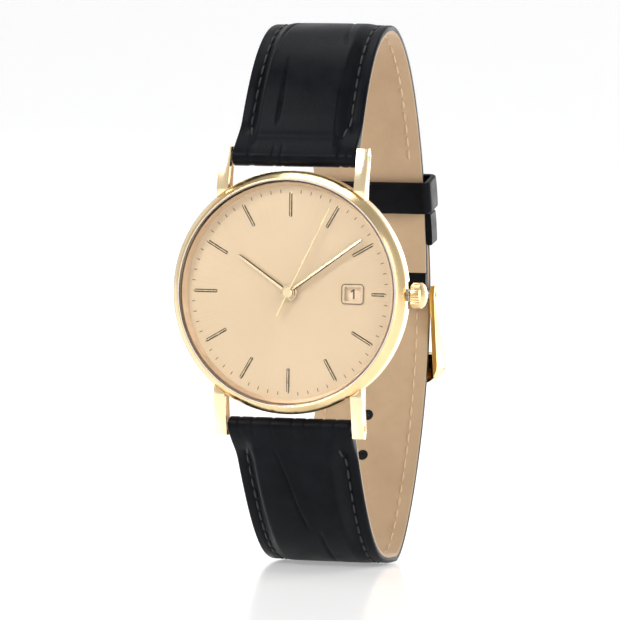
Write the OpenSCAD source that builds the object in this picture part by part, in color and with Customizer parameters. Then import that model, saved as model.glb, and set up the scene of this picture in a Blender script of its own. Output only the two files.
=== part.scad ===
// Slim quartz dress wristwatch with a date window, on a two-piece padded leather strap that is
// buckled into a loop. Millimetres. The case back's flat face lies in the plane Y = 0 and its centre
// is the origin. The dial faces -Y, 12 o'clock points to +Z and the crown points to +X.
// Heights h are measured from the case back's face towards the crystal, so Y = -h.

/* [Case] */
// Diameter of the case
case_d = 34; // [32:0.5:40]
// Thickness from the case back to the top of the crystal
case_h = 6; // [6:0.1:7]
// Height of the straight side band
band_h = 2.15; // [1.8:0.05:2.4]
// Height of the polished slope of the bezel
bezel_h = 1.35; // [1:0.05:1.6]
// Radial width of the polished slope of the bezel
bezel_w = 1; // [0.8:0.05:1.4]
// Thickness of the crystal
crystal_t = 0.8; // [0.7:0.05:1]
// Free height between the dial and the crystal
hand_room = 1.25; // [1.2:0.05:1.6]
// Thickness of the dial plate
dial_t = 0.4; // [0.3:0.05:0.5]
// Wall of the case back
back_t = 0.5; // [0.4:0.05:0.6]
// Width of a lug
lug_w = 1.6; // [1.2:0.1:2.4]
// Distance from the case's edge to the lug bars
lug_gap = 1.8; // [1.5:0.1:5]
// Height of the lug bars over the case back
lug_bar_h = 2.3; // [2:0.1:2.6]

/* [Crown] */
// Diameter of the crown
crown_d = 3.6; // [3:0.1:5]
// Length of the crown
crown_len = 2; // [1.6:0.1:3]
// Number of flutes round the crown
crown_flutes = 28; // [18:1:36]
// How far the crown pulls out to set the hands
crown_pull = 1; // [0.6:0.1:1.2]

/* [Hands and dial] */
// Length of the hour hand
hour_len = 9; // [7:0.1:10]
// Length of the minute hand
minute_len = 13; // [10:0.1:13.4]
// Length of the seconds hand
second_len = 13.4; // [10:0.1:14]
// Width of the hour and minute hands
hand_w = 0.5; // [0.4:0.05:1]
// Hour shown
show_hour = 10; // [0:1:11]
// Minute shown
show_minute = 9; // [0:1:59]
// Second shown
show_second = 4.4; // [0:0.1:59.9]
// Distance from the dial's visible edge to the hour indices
index_in = 0.9; // [0.6:0.1:3]
// Length of an hour index
index_len = 3.53; // [2:0.01:4]
// Radius at which the date window sits
date_r = 9.25; // [8.6:0.05:9.6]

/* [Movement] */
// Diameter of the movement
move_d = 25.6; // [25:0.1:26]
// Thickness of the main plate
plate_t = 1; // [0.95:0.01:1.05]

/* [Strap] */
// Width of the strap between the lugs
strap_w = 18; // [16:0.5:20]
// Width of the strap at the buckle
buckle_w = 16; // [14:0.5:18]
// Thickness of one layer of strap at its edge
strap_t = 1.2; // [1:0.05:1.5]
// Thickness of the lining
lining_t = 0.45; // [0.3:0.05:0.5]
// Thickness over the padding near the lugs
pad_t = 2.9; // [2:0.1:3.6]
// Gap between the strap and each lug
strap_gap = 0.2; // [0.1:0.05:0.3]
// Distance from the strap's edge to its seam
seam_in = 1.7; // [1.4:0.1:2]
// Length of a stitch
stitch_len = 1.9; // [1.2:0.1:2.4]
// Distance from one stitch to the next
stitch_pitch = 2.6; // [2.2:0.1:3.2]

/* [Buckled loop] */
// Height of the loop's top over the dial's centre
loop_top = 36.55; // [34:0.1:40]
// Depth of the loop's bottom under the dial's centre
loop_bottom = 37.8; // [34:0.1:40]
// Distance from the case back to the inside of the loop at the buckle
loop_depth = 35.86; // [33:0.1:40]
// How far below the dial's centre the buckle's bar lies
heel_drop = 1; // [0:0.1:3]
// How far the strap's tail reaches over the dial's centre
tail_rise = 15; // [14:0.1:16]
// Free space between the two layers of strap
lap_gap = 0.15; // [0.1:0.05:0.3]
// Distance from one buckle hole to the next
hole_pitch = 6.2; // [5:0.1:7]
// Diameter of a buckle hole
hole_d = 1.3; // [1.1:0.05:1.6]

/* [Keepers and buckle] */
// Length of each keeper along the strap
keeper_len = 4.7; // [4:0.1:5.5]
// Thickness of a keeper
keeper_t = 0.9; // [0.6:0.05:1.1]
// Play of the strap in a keeper
keeper_play = 0.35; // [0.25:0.05:0.5]
// Thickness of the buckle's arms
arm_t = 0.65; // [0.5:0.05:0.9]
// Length of the buckle from its bar to its front edge
buckle_len = 13.2; // [12:0.1:15]
// Width of the tang
tang_w = 1.25; // [1:0.05:1.3]

/* [Hidden] */

gold = "#d9b35c";
gold_pale = "#ecd9ae";
steel = "#b9bcc0";
brass = "#c9a44c";
leather = "#17181b";
tan = "#c8a988";
run_fit = 0.04;

// Heights in the case
case_r = case_d / 2;
lug_reach = case_r + lug_gap;
crystal_top = case_h;
crystal_low = crystal_top - crystal_t;
dial_top = crystal_low - hand_room;
dial_low = dial_top - dial_t;
bezel_top = crystal_top - 0.35;
band_top = bezel_top - bezel_h;
band_low = band_top - band_h;
middle_low = 1.1;
crystal_r = case_r - bezel_w - 0.25;
gasket_t = 0.15;
rehaut_r = crystal_r - 0.15;
dial_r = rehaut_r - 0.1;
dial_see_r = crystal_r - 0.75;
index_r = dial_see_r - index_in;
seat_fit = 0.02;
bore_r = case_r - 2.8;
back_r = case_r - 1.4;
back_flat_r = case_r - 4;
snap_r = bore_r - 0.05;
groove_out = back_r - 0.5;
groove_in = back_r - 0.85;

// Movement levels, from the bridge side to the dial side
plate_top = dial_low - 0.35;
plate_low = plate_top - plate_t;
bridge_low = back_t + 0.18;
bridge_t = 0.2;
bridge_top = bridge_low + bridge_t;
wheel_t = 0.15;
level1 = bridge_top + 0.07;
level2 = level1 + 0.3;
level3 = level2 + 0.3;
stator_h = level3 + 0.2;
stator_t = 0.35;
recess_h = plate_top - 0.45;
motion1 = recess_h + 0.05;
motion2 = motion1 + 0.28;
date_h = plate_top + 0.06;
date_t = 0.22;
day_h = plate_top + 0.02;
day_t = 0.12;
move_r = move_d / 2;
stem_h = plate_low + 0.4;

// Wheel teeth, pitch radii and axes. Each pair's pitch radii add up to its distance.
module12 = 0.11;
cannon_n = 12;
minute_n = 36;
minute_pin_n = 8;
hour_n = 32;
motion_d = module12 * (cannon_n + minute_n) / 2;
hour_module = 2 * motion_d / (minute_pin_n + hour_n);
setting_n = 20;
setting_d = module12 * (minute_n + setting_n) / 2;
day_pin_n = 20;
day_n = 40;
day_module = 0.125;
day_d = day_module * (day_pin_n + day_n) / 2;
day_angle = 130;
day_at = day_d * [cos(day_angle), sin(day_angle)];
date_teeth = 31;
sec_n = 60;
inter_pin_n = 10;
sec_module = 0.09;
inter_d = sec_module * (sec_n + inter_pin_n) / 2;
inter_at = [inter_d, 0];
inter_n = 50;
rotor_pin_n = 10;
rotor_module = 0.088;
rotor_d = rotor_module * (inter_n + rotor_pin_n) / 2;
rotor_at = inter_at + rotor_d * [cos(-60), sin(-60)];
sec_pin_n = 8;
third_n = 60;
third_module = 0.1;
third_d = third_module * (sec_pin_n + third_n) / 2;
third_at = third_d * [cos(120), sin(120)];
third_pin_n = 8;
centre_n = 64;
centre_module = 2 * third_d / (third_pin_n + centre_n);

// Coaxial tubes at the centre
arbor_r = 0.13;
centre_tube_r = 0.3;
cannon_r = 0.5;
hour_tube_r = 0.8;
hand_t = 0.1;
hand_back = 0.6;
hour_hand_h = dial_top + 0.35;
minute_hand_h = dial_top + 0.67;
second_hand_h = dial_top + 0.98;
pivot_r = 0.1;
pivot_bore = pivot_r + run_fit;
minute_post_r = 0.2;
setting_post_r = 0.25;
day_post_r = 0.3;
lever_post_r = 0.25;
finger_len = 2.7;
finger_t = 0.1;
foot_r = 0.35;
foot_at = move_r - 0.9;
screw_r = 0.2;

// Keyless works
stem_r = 0.45;
stem_slot = 2.4;
stem_in = motion_d + setting_d + setting_n * module12 / 2 + 0.2;
groove_x = 10;
lever_arm = 3.2;
pinion_r = 0.6;
pinion_len = 1.2;
tube_r = 0.9;
crown_in = case_r + 0.5;
crown_out = crown_in + crown_len;
crown_bore = tube_r + 0.25;
crown_cap = 0.7;
tube_out = crown_out - crown_cap - 0.25;
date_win = [2.45, 1.95];
date_rim = [3.3, 2.9];
index_half = 0.225;
index_edge = 0.1;
short_index = 0.6;
track_in = 0.2;
track_len = 0.5;

// Lug bars
lug_in = strap_w / 2 + strap_gap;
lug_root = bore_r - 1.2;
bar_r = 0.75;
bar_pin_r = 0.4;
roll_r = 1.25;
roll_t = 2 * roll_r - 0.1;
lug_bar = [-lug_bar_h, lug_reach];

// Strap loop, as inner lines in the YZ plane. The lower strap is drawn mirrored, going up.
lead_angle = 62;
steps = 14;
seam_x = 0.6;
// Where the edge, the padding, the inner layers and the seams start and stop along a half
edge_run = 6;
pad_rise = 7;
pad_hold = 9;
pad_fall = 20;
inner_start = 1.2;
seam_start = 7;
seam_stop12 = 19;
seam_stop6 = 1;
tip_len = 5;
filler_in = seam_in + 1;
filler_slope = 1.6;
skin_over = 0.7;
filler_play = 0.1;
stitch_lift = 0.08;
heel_bar_r = 0.65;
heel_roll_r = 1.1;
heel_out = 0.5;
heel = [loop_depth, -heel_drop];
heel_bar = heel + [heel_out, 0];

function unit(a) = [cos(a), sin(a)];
function bezier(p, t) = pow(1 - t, 3) * p[0] + 3 * pow(1 - t, 2) * t * p[1]
    + 3 * (1 - t) * t * t * p[2] + pow(t, 3) * p[3];
function span(a, a_dir, a_len, b, b_dir, b_len) =
    [a, a + a_len * unit(a_dir), b - b_len * unit(b_dir), b];
function curve(p, from) = [for (i = [from:steps]) bezier(p, i / steps)];
function leave(bar) = bar + roll_r * unit(lead_angle - 90);
function run(path, i = 0, sum = 0) = i >= len(path) - 1 ? [sum]
    : concat([sum], run(path, i + 1, sum + norm(path[i + 1] - path[i])));
function seg(acc, s, i = 0) = i >= len(acc) - 2 || s <= acc[i + 1] ? i : seg(acc, s, i + 1);
function turn_of(d) = atan2(d[1], d[0]);
function mean_turn(a, b) = turn_of(unit(a) + unit(b));
function head(path, i) = let (n = len(path) - 1)
    i == 0 ? turn_of(path[1] - path[0])
    : i == n ? turn_of(path[n] - path[n - 1])
    : mean_turn(turn_of(path[i] - path[i - 1]), turn_of(path[i + 1] - path[i]));
function along(path, acc, s) = let (i = seg(acc, s), f = (s - acc[i]) / (acc[i + 1] - acc[i]))
    path[i] * (1 - f) + path[i + 1] * f;
function along_turn(path, acc, s) = let (i = seg(acc, s)) turn_of(path[i + 1] - path[i]);

upper_knot = [loop_depth * 0.418, loop_top];
upper_path = concat(
    curve(span(leave(lug_bar), lead_angle, 6, upper_knot, 0, 10), 0),
    curve(span(upper_knot, 0, 12, heel, -91, 10.3), 1));
upper_run = run(upper_path);
upper_len = upper_run[len(upper_run) - 1];

// The tail lies on the upper strap, so its inner line is the upper one's, one layer further out
function lapped(s) = let (a = along_turn(upper_path, upper_run, s))
    along(upper_path, upper_run, s) + (strap_t + lap_gap) * unit(a + 90);
function flip(p) = [p[0], -p[1]];
function s_at_height(z, s) = along(upper_path, upper_run, s)[1] >= z ? s : s_at_height(z, s - 0.25);
tail_s = s_at_height(tail_rise, upper_len);
lower_knot = [loop_depth * 0.6, loop_bottom];
heel_pass = flip(heel) + [heel_out + heel_roll_r + lap_gap, 0];
tail_turn = 180 - along_turn(upper_path, upper_run, tail_s) - 360;
lower_path = concat(
    curve(span(leave(lug_bar), lead_angle, 22.9, lower_knot, 0, 7.6), 0),
    curve(span(lower_knot, 0, 4.4, heel_pass, -90, 18), 1),
    curve(span(heel_pass, -90, 4, flip(lapped(tail_s)), tail_turn, 6), 1));
lower_run = run(lower_path);
lower_len = lower_run[len(lower_run) - 1];
pass_s = lower_run[2 * steps];
used_hole_d = 5.7;
hole_play = 0.15;
keeper_back = 9.5;
keeper_gap = 0.35;

// Widths and thicknesses along a strap half, s mm from its lug bar
function ease(a, b, t) = let (f = max(0, min(1, t))) a + (b - a) * f * f * (3 - 2 * f);
function width(s, full) = strap_w + (buckle_w - strap_w) * min(1, s / full);
function edge_t(s) = ease(roll_t, strap_t, s / edge_run);
function pad_at(s) = s < pad_rise ? ease(roll_t, pad_t, s / pad_rise)
    : ease(pad_t, strap_t + 0.1, (s - pad_hold) / pad_fall);

// Cross-sections, as [x, distance out from the inner line]
function half_leather(w, e, p) = let (seat = min(e - 0.15, lining_t + 0.05), fill = max(p - skin_over, seat))
    [[w / 2, lining_t], [w / 2, e - 0.25], [w / 2 - 0.25, e], [w / 2 - seam_in - seam_x, e],
        [w / 2 - seam_in - seam_x - 1.6, p - 0.15], [w / 2 - seam_in - seam_x - 3.4, p],
        [-(w / 2 - seam_in - seam_x - 3.4), p], [-(w / 2 - seam_in - seam_x - 1.6), p - 0.15],
        [-(w / 2 - seam_in - seam_x), e], [-w / 2 + 0.25, e], [-w / 2, e - 0.25], [-w / 2, lining_t],
        [-(w / 2 - filler_in), lining_t], [-(w / 2 - filler_in - filler_slope), fill],
        [w / 2 - filler_in - filler_slope, fill], [w / 2 - filler_in, lining_t]];
function half_filler(w, e, p) = let (seat = min(e - 0.15, lining_t + 0.05), fill = max(p - skin_over, seat),
    foot = w / 2 - filler_in - filler_play, high = fill - filler_play / 2)
    [[foot, lining_t], [foot - filler_slope, high], [-(foot - filler_slope), high], [-foot, lining_t]];
function half_lining(w) = let (half = w / 2 - 0.05) [[half, 0], [half, lining_t], [-half, lining_t], [-half, 0]];

// Convex pieces of the leather's channel section, for the ends of its solid
leather_caps = [[0, 1, 2, 15], [15, 2, 3], [15, 3, 14], [14, 3, 4], [14, 4, 5], [14, 5, 6, 13], [13, 6, 7],
    [13, 7, 8], [13, 8, 12], [12, 8, 9], [12, 9, 10, 11]];
plain_caps = [[0, 1, 2, 3]];
// A closed solid through sections placed square to a path
module sweep(path, sections, caps) {
    n = len(sections[0]);
    last = len(path) - 1;
    points = [for (i = [0:last]) let (a = head(path, i) + 90) for (q = sections[i])
        [q[0], path[i][0] + q[1] * cos(a), path[i][1] + q[1] * sin(a)]];
    sides = [for (i = [0:last - 1]) for (j = [0:n - 1]) let (k = (j + 1) % n)
        each [[i * n + j, (i + 1) * n + k, (i + 1) * n + j], [i * n + j, i * n + k, (i + 1) * n + k]]];
    ends = [for (c = caps) each [[for (j = [len(c) - 1:-1:0]) c[j]], [for (j = c) last * n + j]]];
    polyhedron(points, concat(sides, ends), convexity = 10);
}

function cut(path, acc, from, to) = [for (i = [0:len(path) - 1]) if (acc[i] >= from && acc[i] <= to) i];
function pick(list, idx) = [for (i = idx) list[i]];

// Draws in the case's own frame: X right, Y up the dial, Z height over the case back
module face() {
    rotate([90, 0, 0]) children();
}
module layer(from, to) {
    translate([0, 0, from]) linear_extrude(to - from) children();
}
module disc(r, from, to, at = [0, 0]) {
    translate([at[0], at[1], from]) cylinder(r = r, h = to - from, $fn = 96);
}
module pipe(r, hole, from, to, at = [0, 0]) {
    difference() {
        disc(r, from, to, at);
        disc(hole, from - 0.1, to + 0.1, at);
    }
}
module turned(points) {
    rotate_extrude($fn = 144) polygon(points);
}
// Draws a YZ outline and gives it a width along X, centred
module across(width) {
    rotate([90, 0, 90]) linear_extrude(width, center = true) children();
}
module bar_x(r, from, to, at) {
    translate([from, at[0], at[1]]) rotate([0, 90, 0]) cylinder(r = r, h = to - from, $fn = 48);
}
// A wheel's toothed outline, with tooth 0 on +X
module toothed(n, mod, phase = 0) {
    pitch_r = n * mod / 2;
    tip_r = pitch_r + 0.8 * mod;
    root_r = pitch_r - 1.1 * mod;
    step = 360 / n;
    polygon([for (i = [0:n - 1]) for (q = [[-0.3, root_r], [-0.12, tip_r], [0.12, tip_r], [0.3, root_r]])
        let (a = (i + phase + q[0]) * step) q[1] * unit(a)]);
}
module wheel(n, mod, from, thick, at = [0, 0], hole = pivot_r, phase = 0) {
    translate([at[0], at[1], 0]) layer(from, from + thick) difference() {
        toothed(n, mod, phase);
        circle(r = hole, $fn = 48);
    }
}
module arbor(at, top) {
    disc(pivot_r, bridge_low + 0.03, top, at);
}

// ---- case ----
module lugs() {
    for (sx = [-1, 1]) for (sz = [0, 1]) mirror([0, 0, sz]) translate([sx * (lug_in + lug_w / 2), 0, 0])
        rotate([90, 0, 90]) linear_extrude(lug_w, center = true) difference() {
            // outline in (Y, Z), with Y the height turned away from the dial
            polygon([[-band_low - 0.1, lug_root], [-lug_bar_h + 0.3, lug_reach - 2.6],
                [-lug_bar_h + 0.95, lug_reach + 0.9],
                [-lug_bar_h + 0.5, lug_reach + 1.45], [-lug_bar_h - 0.7, lug_reach + 1.4],
                [-band_top - 0.12, lug_reach - 4.4], [-band_top, lug_root]]);
            translate(lug_bar) circle(r = bar_pin_r + run_fit, $fn = 48);
        }
}
module case_middle() color(gold) {
    difference() {
        union() {
            face() turned([[case_r - 1.6, middle_low], [case_r - 0.35, band_low - 0.55], [case_r, band_low],
                [case_r, band_top], [bore_r, band_top], [bore_r, middle_low]]);
            lugs();
        }
        face() disc(bore_r, -1, band_top + 1);
        face() disc(rehaut_r + seat_fit, dial_low, band_top + 1);
        // seat for the bezel
        face() disc(case_r + 0.05, band_top, crystal_top);
        bar_x(tube_r, bore_r - 1, case_r + 1, [-stem_h, 0]);
        // seat for the crown
        translate([case_r - 0.45, -stem_h, 0]) rotate([0, 90, 0])
            cylinder(r = crown_d / 2 + 0.2, h = 2, $fn = 64);
        face() translate([0, 0, middle_low - 0.01]) pipe(groove_out, groove_in, 0, 0.16);
    }
}
module bezel() color(gold) face() {
    turned([[rehaut_r + seat_fit, band_top], [case_r, band_top], [case_r - bezel_w, bezel_top],
        [crystal_r + gasket_t, bezel_top], [crystal_r + gasket_t, crystal_low], [rehaut_r + seat_fit, crystal_low]]);
}
module crystal() color("#dfe8ea", 0.35) face() {
    turned([[0, crystal_low], [crystal_r, crystal_low], [crystal_r, crystal_top - 0.3],
        [crystal_r - 0.3, crystal_top], [0, crystal_top]]);
}
module crystal_gasket() color("white") face()
    pipe(crystal_r + gasket_t, crystal_r, crystal_low, bezel_top - 0.03);
module rehaut() color(gold_pale) face() {
    turned([[dial_see_r, dial_top], [rehaut_r, dial_top], [rehaut_r, crystal_low],
        [dial_see_r + 0.4, crystal_low]]);
}
module case_back() color(gold) face() {
    turned([[0, 0], [back_flat_r, 0], [back_r - 0.9, 0.35], [back_r, middle_low - 0.15], [back_r, middle_low],
        [snap_r, middle_low], [snap_r, middle_low + 0.5], [snap_r - 0.6, middle_low + 0.5],
        [snap_r - 0.6, back_t], [0, back_t]]);
}
module back_gasket() color("#222222") face()
    pipe(groove_out - seat_fit, groove_in + seat_fit, middle_low + 0.005, middle_low + 0.14);
module movement_ring() color("#e8e8e4") face() difference() {
    pipe(bore_r - 0.1, move_r + 0.05, middle_low + 0.55, dial_low);
    translate([move_r - 1, -stem_slot / 2, stem_h - stem_slot / 2])
        cube([bore_r - move_r + 2, stem_slot, stem_slot]);
}
module lug_bar_tubes() color(steel) for (s = [0, 1]) mirror([0, 0, s]) difference() {
    bar_x(bar_r, -lug_in + 0.2, lug_in - 0.2, lug_bar);
    bar_x(bar_pin_r, -lug_in - 1, lug_in + 1, lug_bar);
}
module lug_bar_pins() color(steel) for (s = [0, 1]) mirror([0, 0, s]) for (side = [0, 1]) mirror([side, 0, 0])
    bar_x(bar_pin_r, lug_in - 2.4, lug_in + 0.9, lug_bar);

// ---- crown and keyless works ----
module crown_tube() color(steel) difference() {
    bar_x(tube_r, bore_r + 0.1, tube_out, [-stem_h, 0]);
    bar_x(stem_r + run_fit, bore_r - 1, crown_out, [-stem_h, 0]);
}
module crown() color(gold) translate([crown_in, -stem_h, 0]) rotate([0, 90, 0]) difference() {
    intersection() {
        rotate_extrude($fn = 96) polygon([[0, 0], [crown_d / 2 - 0.2, 0], [crown_d / 2, 0.2],
            [crown_d / 2, crown_len - 0.65], [crown_d / 2 - 0.3, crown_len - 0.3], [0.9, crown_len - 0.05],
            [0, crown_len]]);
        linear_extrude(3 * crown_len, center = true) polygon([for (i = [0:crown_flutes - 1])
            for (q = [[0, -0.28], [0, 0.28], [0.14, 0.5]])
            (crown_d / 2 + 0.02 - q[0]) * unit((i + q[1]) * 360 / crown_flutes)]);
    }
    translate([0, 0, -0.1]) cylinder(r = crown_bore, h = crown_len - crown_cap + 0.1, $fn = 64);
    translate([0, 0, -0.1]) cylinder(r = stem_r, h = crown_len - 0.2, $fn = 48);
}
module crown_gasket() color("#222222") difference() {
    bar_x(crown_bore, crown_in + 0.25, crown_in + 0.55, [-stem_h, 0]);
    bar_x(tube_r + 0.02, crown_in, crown_in + 1, [-stem_h, 0]);
}
module stem() color(steel) difference() {
    union() {
        bar_x(stem_r, stem_in + pinion_len + crown_pull + 0.6, crown_out - 0.3, [-stem_h, 0]);
        translate([stem_in + 0.1, -stem_h - 0.28, -0.28]) cube([pinion_len + crown_pull + 0.6, 0.56, 0.56]);
    }
    difference() {
        bar_x(stem_r + 1, groove_x - 0.28, groove_x + 0.28, [-stem_h, 0]);
        bar_x(0.22, groove_x - 1, groove_x + 1, [-stem_h, 0]);
    }
}
module sliding_pinion() color(steel) difference() {
    translate([stem_in + 0.3, -stem_h, 0]) rotate([0, 90, 0]) linear_extrude(pinion_len) toothed(10, 0.1);
    translate([stem_in, -stem_h, 0]) cube([9, 0.6, 0.6], center = true);
}
module setting_lever() color(steel) face() {
    layer(plate_low - 0.2, plate_low - 0.06) difference() {
        union() {
            translate([groove_x - 0.35, -lever_arm]) square([0.7, lever_arm]);
            translate([groove_x, -lever_arm]) circle(r = 0.6, $fn = 48);
            translate([groove_x, 0]) circle(r = 0.35, $fn = 48);
        }
        translate([groove_x, -lever_arm]) circle(r = lever_post_r + run_fit, $fn = 48);
    }
    disc(0.2, plate_low - 0.06, stem_h - 0.24, [groove_x, 0]);
}

// ---- dial ----
module dial() color(gold_pale) face() {
    difference() {
        disc(dial_r, dial_low, dial_top);
        disc(hour_tube_r + 0.12, dial_low - 1, dial_top + 1);
        translate([date_r - date_win[0] / 2, -date_win[1] / 2, dial_low - 1]) cube([date_win[0], date_win[1], 3]);
    }
    for (a = [60, 240]) disc(foot_r, plate_low + 0.2, dial_low, foot_at * unit(a));
}
module hour_indices() color(gold) face() for (i = [0:11]) {
    long = i == 0 ? short_index * index_len : index_len;
    rotate([0, 0, 30 * i]) translate([index_r - long, 0, dial_top]) rotate([90, 0, 90]) linear_extrude(long)
        polygon([[-index_half, 0], [index_half, 0], [index_half, index_edge], [0, index_edge + 0.08],
            [-index_half, index_edge]]);
}
module minute_track() color("#4a4038") face() for (i = [0:59]) if (i % 5 != 0)
    rotate([0, 0, 6 * i]) translate([index_r - track_in, -0.06, dial_top]) cube([track_len, 0.12, 0.02]);
module date_frame() color(gold) face() translate([date_r, 0, 0]) layer(dial_top, dial_top + 0.15) difference() {
    square(date_rim, center = true);
    square(date_win, center = true);
}
module hand(tip, back, w, h, hub_r, hole, angle) {
    rotate([0, 0, 90 - angle]) difference() {
        union() {
            layer(h, h + hand_t) polygon([[-back, -w / 2], [-back, w / 2], [tip - 0.3, w / 2], [tip, 0.08],
                [tip, -0.08], [tip - 0.3, -w / 2]]);
            disc(hub_r, h, h + hand_t);
        }
        disc(hole, h - 1, h + 1);
    }
}
minute_now = show_minute + show_second / 60;
hour_now = show_hour + minute_now / 60;
module hour_hand() color(gold) face()
    hand(hour_len, hand_back, hand_w, hour_hand_h, 1.15, hour_tube_r, 30 * hour_now);
module minute_hand() color(gold) face()
    hand(minute_len, hand_back, hand_w, minute_hand_h, 0.9, cannon_r, 6 * minute_now);
module seconds_hand() color(gold) face() {
    rotate([0, 0, 90 - 6 * show_second]) difference() {
        union() {
            layer(second_hand_h, second_hand_h + 0.07)
                polygon([[-3.6, -0.17], [-3.6, 0.17], [0, 0.1], [second_len, 0.05], [second_len, -0.05], [0, -0.1]]);
            disc(0.7, second_hand_h, second_hand_h + 0.12);
            disc(0.28, second_hand_h - 0.12, second_hand_h);
        }
        disc(arbor_r, second_hand_h - 1, second_hand_h + 0.07);
    }
}

// ---- motion work and date ----
module hour_wheel() color(brass) face() difference() {
    union() {
        layer(motion2, motion2 + 0.1) toothed(hour_n, hour_module);
        disc(hour_tube_r, motion2, hour_hand_h + hand_t);
        layer(day_h, day_h + day_t) toothed(day_pin_n, day_module, 0.5 + day_angle * day_pin_n / 360);
    }
    disc(cannon_r + run_fit, motion2 - 1, crystal_low);
}
module cannon_pinion() color(steel) face() difference() {
    union() {
        layer(motion1, motion1 + wheel_t) toothed(cannon_n, module12, 0.5);
        disc(cannon_r, motion1, minute_hand_h + hand_t);
    }
    disc(centre_tube_r + run_fit / 2, motion1 - 1, crystal_low);
}
module minute_wheel() color(brass) face() {
    wheel(minute_n, module12, motion1, wheel_t, [motion_d, 0], minute_post_r + run_fit);
    wheel(minute_pin_n, hour_module, motion1 + wheel_t, plate_top - 0.04 - motion1 - wheel_t, [motion_d, 0],
        minute_post_r + run_fit, 0.5);
}
module setting_wheel() color(brass) face()
    wheel(setting_n, module12, motion1, wheel_t, [motion_d + setting_d, 0], setting_post_r + run_fit, 0.5);
module date_wheel() color(brass) face() {
    wheel(day_n, day_module, day_h, day_t, day_at, day_post_r + run_fit, (day_angle + 180) * day_n / 360);
    translate([day_at[0], day_at[1], 0]) rotate([0, 0, day_angle + 90])
        layer(day_h + day_t, day_h + day_t + finger_t)
        difference() {
            union() {
                circle(r = 0.7, $fn = 48);
                polygon([[0, -0.4], [finger_len, -0.12], [finger_len, 0.12], [0, 0.4]]);
            }
            circle(r = day_post_r + run_fit, $fn = 48);
        }
}
module date_ring() color("#efe3cf") face() layer(date_h, date_h + date_t) difference() {
    circle(r = date_r + 1.7, $fn = 144);
    polygon([for (i = [0:date_teeth - 1]) for (q = [[-0.3, -2.25], [-0.1, -2.7], [0.1, -2.7], [0.3, -2.25]])
        (date_r + q[1]) * unit((i + q[0]) * 360 / date_teeth)]);
}

// ---- going train ----
module seconds_wheel() color(brass) face() {
    difference() {
        wheel(sec_n, sec_module, level1, wheel_t, [0, 0], arbor_r, 0.5);
        for (a = [45:90:315]) disc(0.7, 0, 3, 1.5 * unit(a));
    }
    disc(arbor_r, bridge_low + 0.03, second_hand_h + 0.07);
    wheel(sec_pin_n, third_module, level1 + wheel_t, level3 - 0.06 - level1 - wheel_t, [0, 0], arbor_r,
        0.5 + 120 * sec_pin_n / 360);
}
module centre_wheel() color(brass) face() difference() {
    union() {
        layer(level3, level3 + wheel_t) toothed(centre_n, centre_module, 120 * centre_n / 360);
        disc(centre_tube_r, level3, minute_hand_h - 0.1);
    }
    disc(arbor_r + run_fit, level3 - 1, crystal_low);
}
module third_wheel() color(brass) face() {
    wheel(third_n, third_module, level2, wheel_t, third_at, pivot_r, 300 * third_n / 360);
    arbor(third_at, plate_low + 0.15);
    wheel(third_pin_n, centre_module, level2 + wheel_t, level3 + wheel_t - level2 - wheel_t, third_at, pivot_r,
        0.5 + 300 * third_pin_n / 360);
}
module intermediate_wheel() color(brass) face() {
    wheel(inter_n, rotor_module, level2, wheel_t, inter_at, pivot_r, -60 * inter_n / 360);
    arbor(inter_at, plate_low + 0.15);
    wheel(inter_pin_n, sec_module, level1, level2 - level1, inter_at, pivot_r);
}
module rotor() color(steel) face() {
    wheel(rotor_pin_n, rotor_module, level2 - 0.03, wheel_t + 0.06, rotor_at, pivot_r,
        0.5 + 120 * rotor_pin_n / 360);
    arbor(rotor_at, plate_low + 0.15);
    pipe(0.75, pivot_r, stator_h - 0.03, plate_low - 0.08, rotor_at);
}
module stator() color(steel) face() layer(stator_h, stator_h + stator_t) difference() {
    union() {
        translate([0.6, -4]) square([6.5, 3.05]);
        translate([0.6, -9.1]) square([1, 6]);
        translate([6.1, -9.1]) square([1, 6]);
    }
    translate(rotor_at) circle(r = 1, $fn = 64);
    translate([-1, -2.6]) square([3.4, 3]);
}
coil_r = 0.62;
coil_at = [-8.6, bridge_top + 0.66];
module coil() color("#a4552b") face() {
    translate([1.9, coil_at[0], coil_at[1]]) rotate([0, 90, 0]) difference() {
        cylinder(r = coil_r, h = 3.9, $fn = 64);
        cube([0.36, 0.62, 20], center = true);
    }
    translate([0.6, coil_at[0] - 0.3, stator_h - 0.34]) cube([6.5, 0.6, 0.34]);
}
module circuit_board() color("#2f6b45") face() layer(plate_low - 0.27, plate_low - 0.12) difference() {
    intersection() {
        circle(r = move_r - 0.5, $fn = 96);
        translate([-20, 6.4]) square([40, 10]);
    }
    circle(r = 6.3, $fn = 96);
}
module quartz_can() color(steel) face() translate([-6.2, 8.2, plate_low - 0.9]) rotate([0, 90, 0])
    cylinder(r = 0.6, h = 5, $fn = 96);
battery_at = [-5.6, -5.7];
battery_r = 4.75;
module battery() color(steel) face() {
    turn_low = bridge_low + 0.08;
    translate([battery_at[0], battery_at[1], 0]) rotate_extrude($fn = 96)
        polygon([[0, turn_low], [battery_r - 0.5, turn_low], [battery_r - 0.5, turn_low + 0.2],
            [battery_r, turn_low + 0.3], [battery_r, plate_low - 0.04], [0, plate_low - 0.04]]);
}
module battery_clamp() color(steel) face() layer(back_t + 0.1, bridge_low + 0.06) union() {
    translate([-6.2, -11.4]) square([1.2, 8]);
    translate([-8, -7]) square([4.8, 1.2]);
}
posts = [[5.9, 1.3], [2.2, 5.1], [-4.9, 0.6]];
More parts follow.
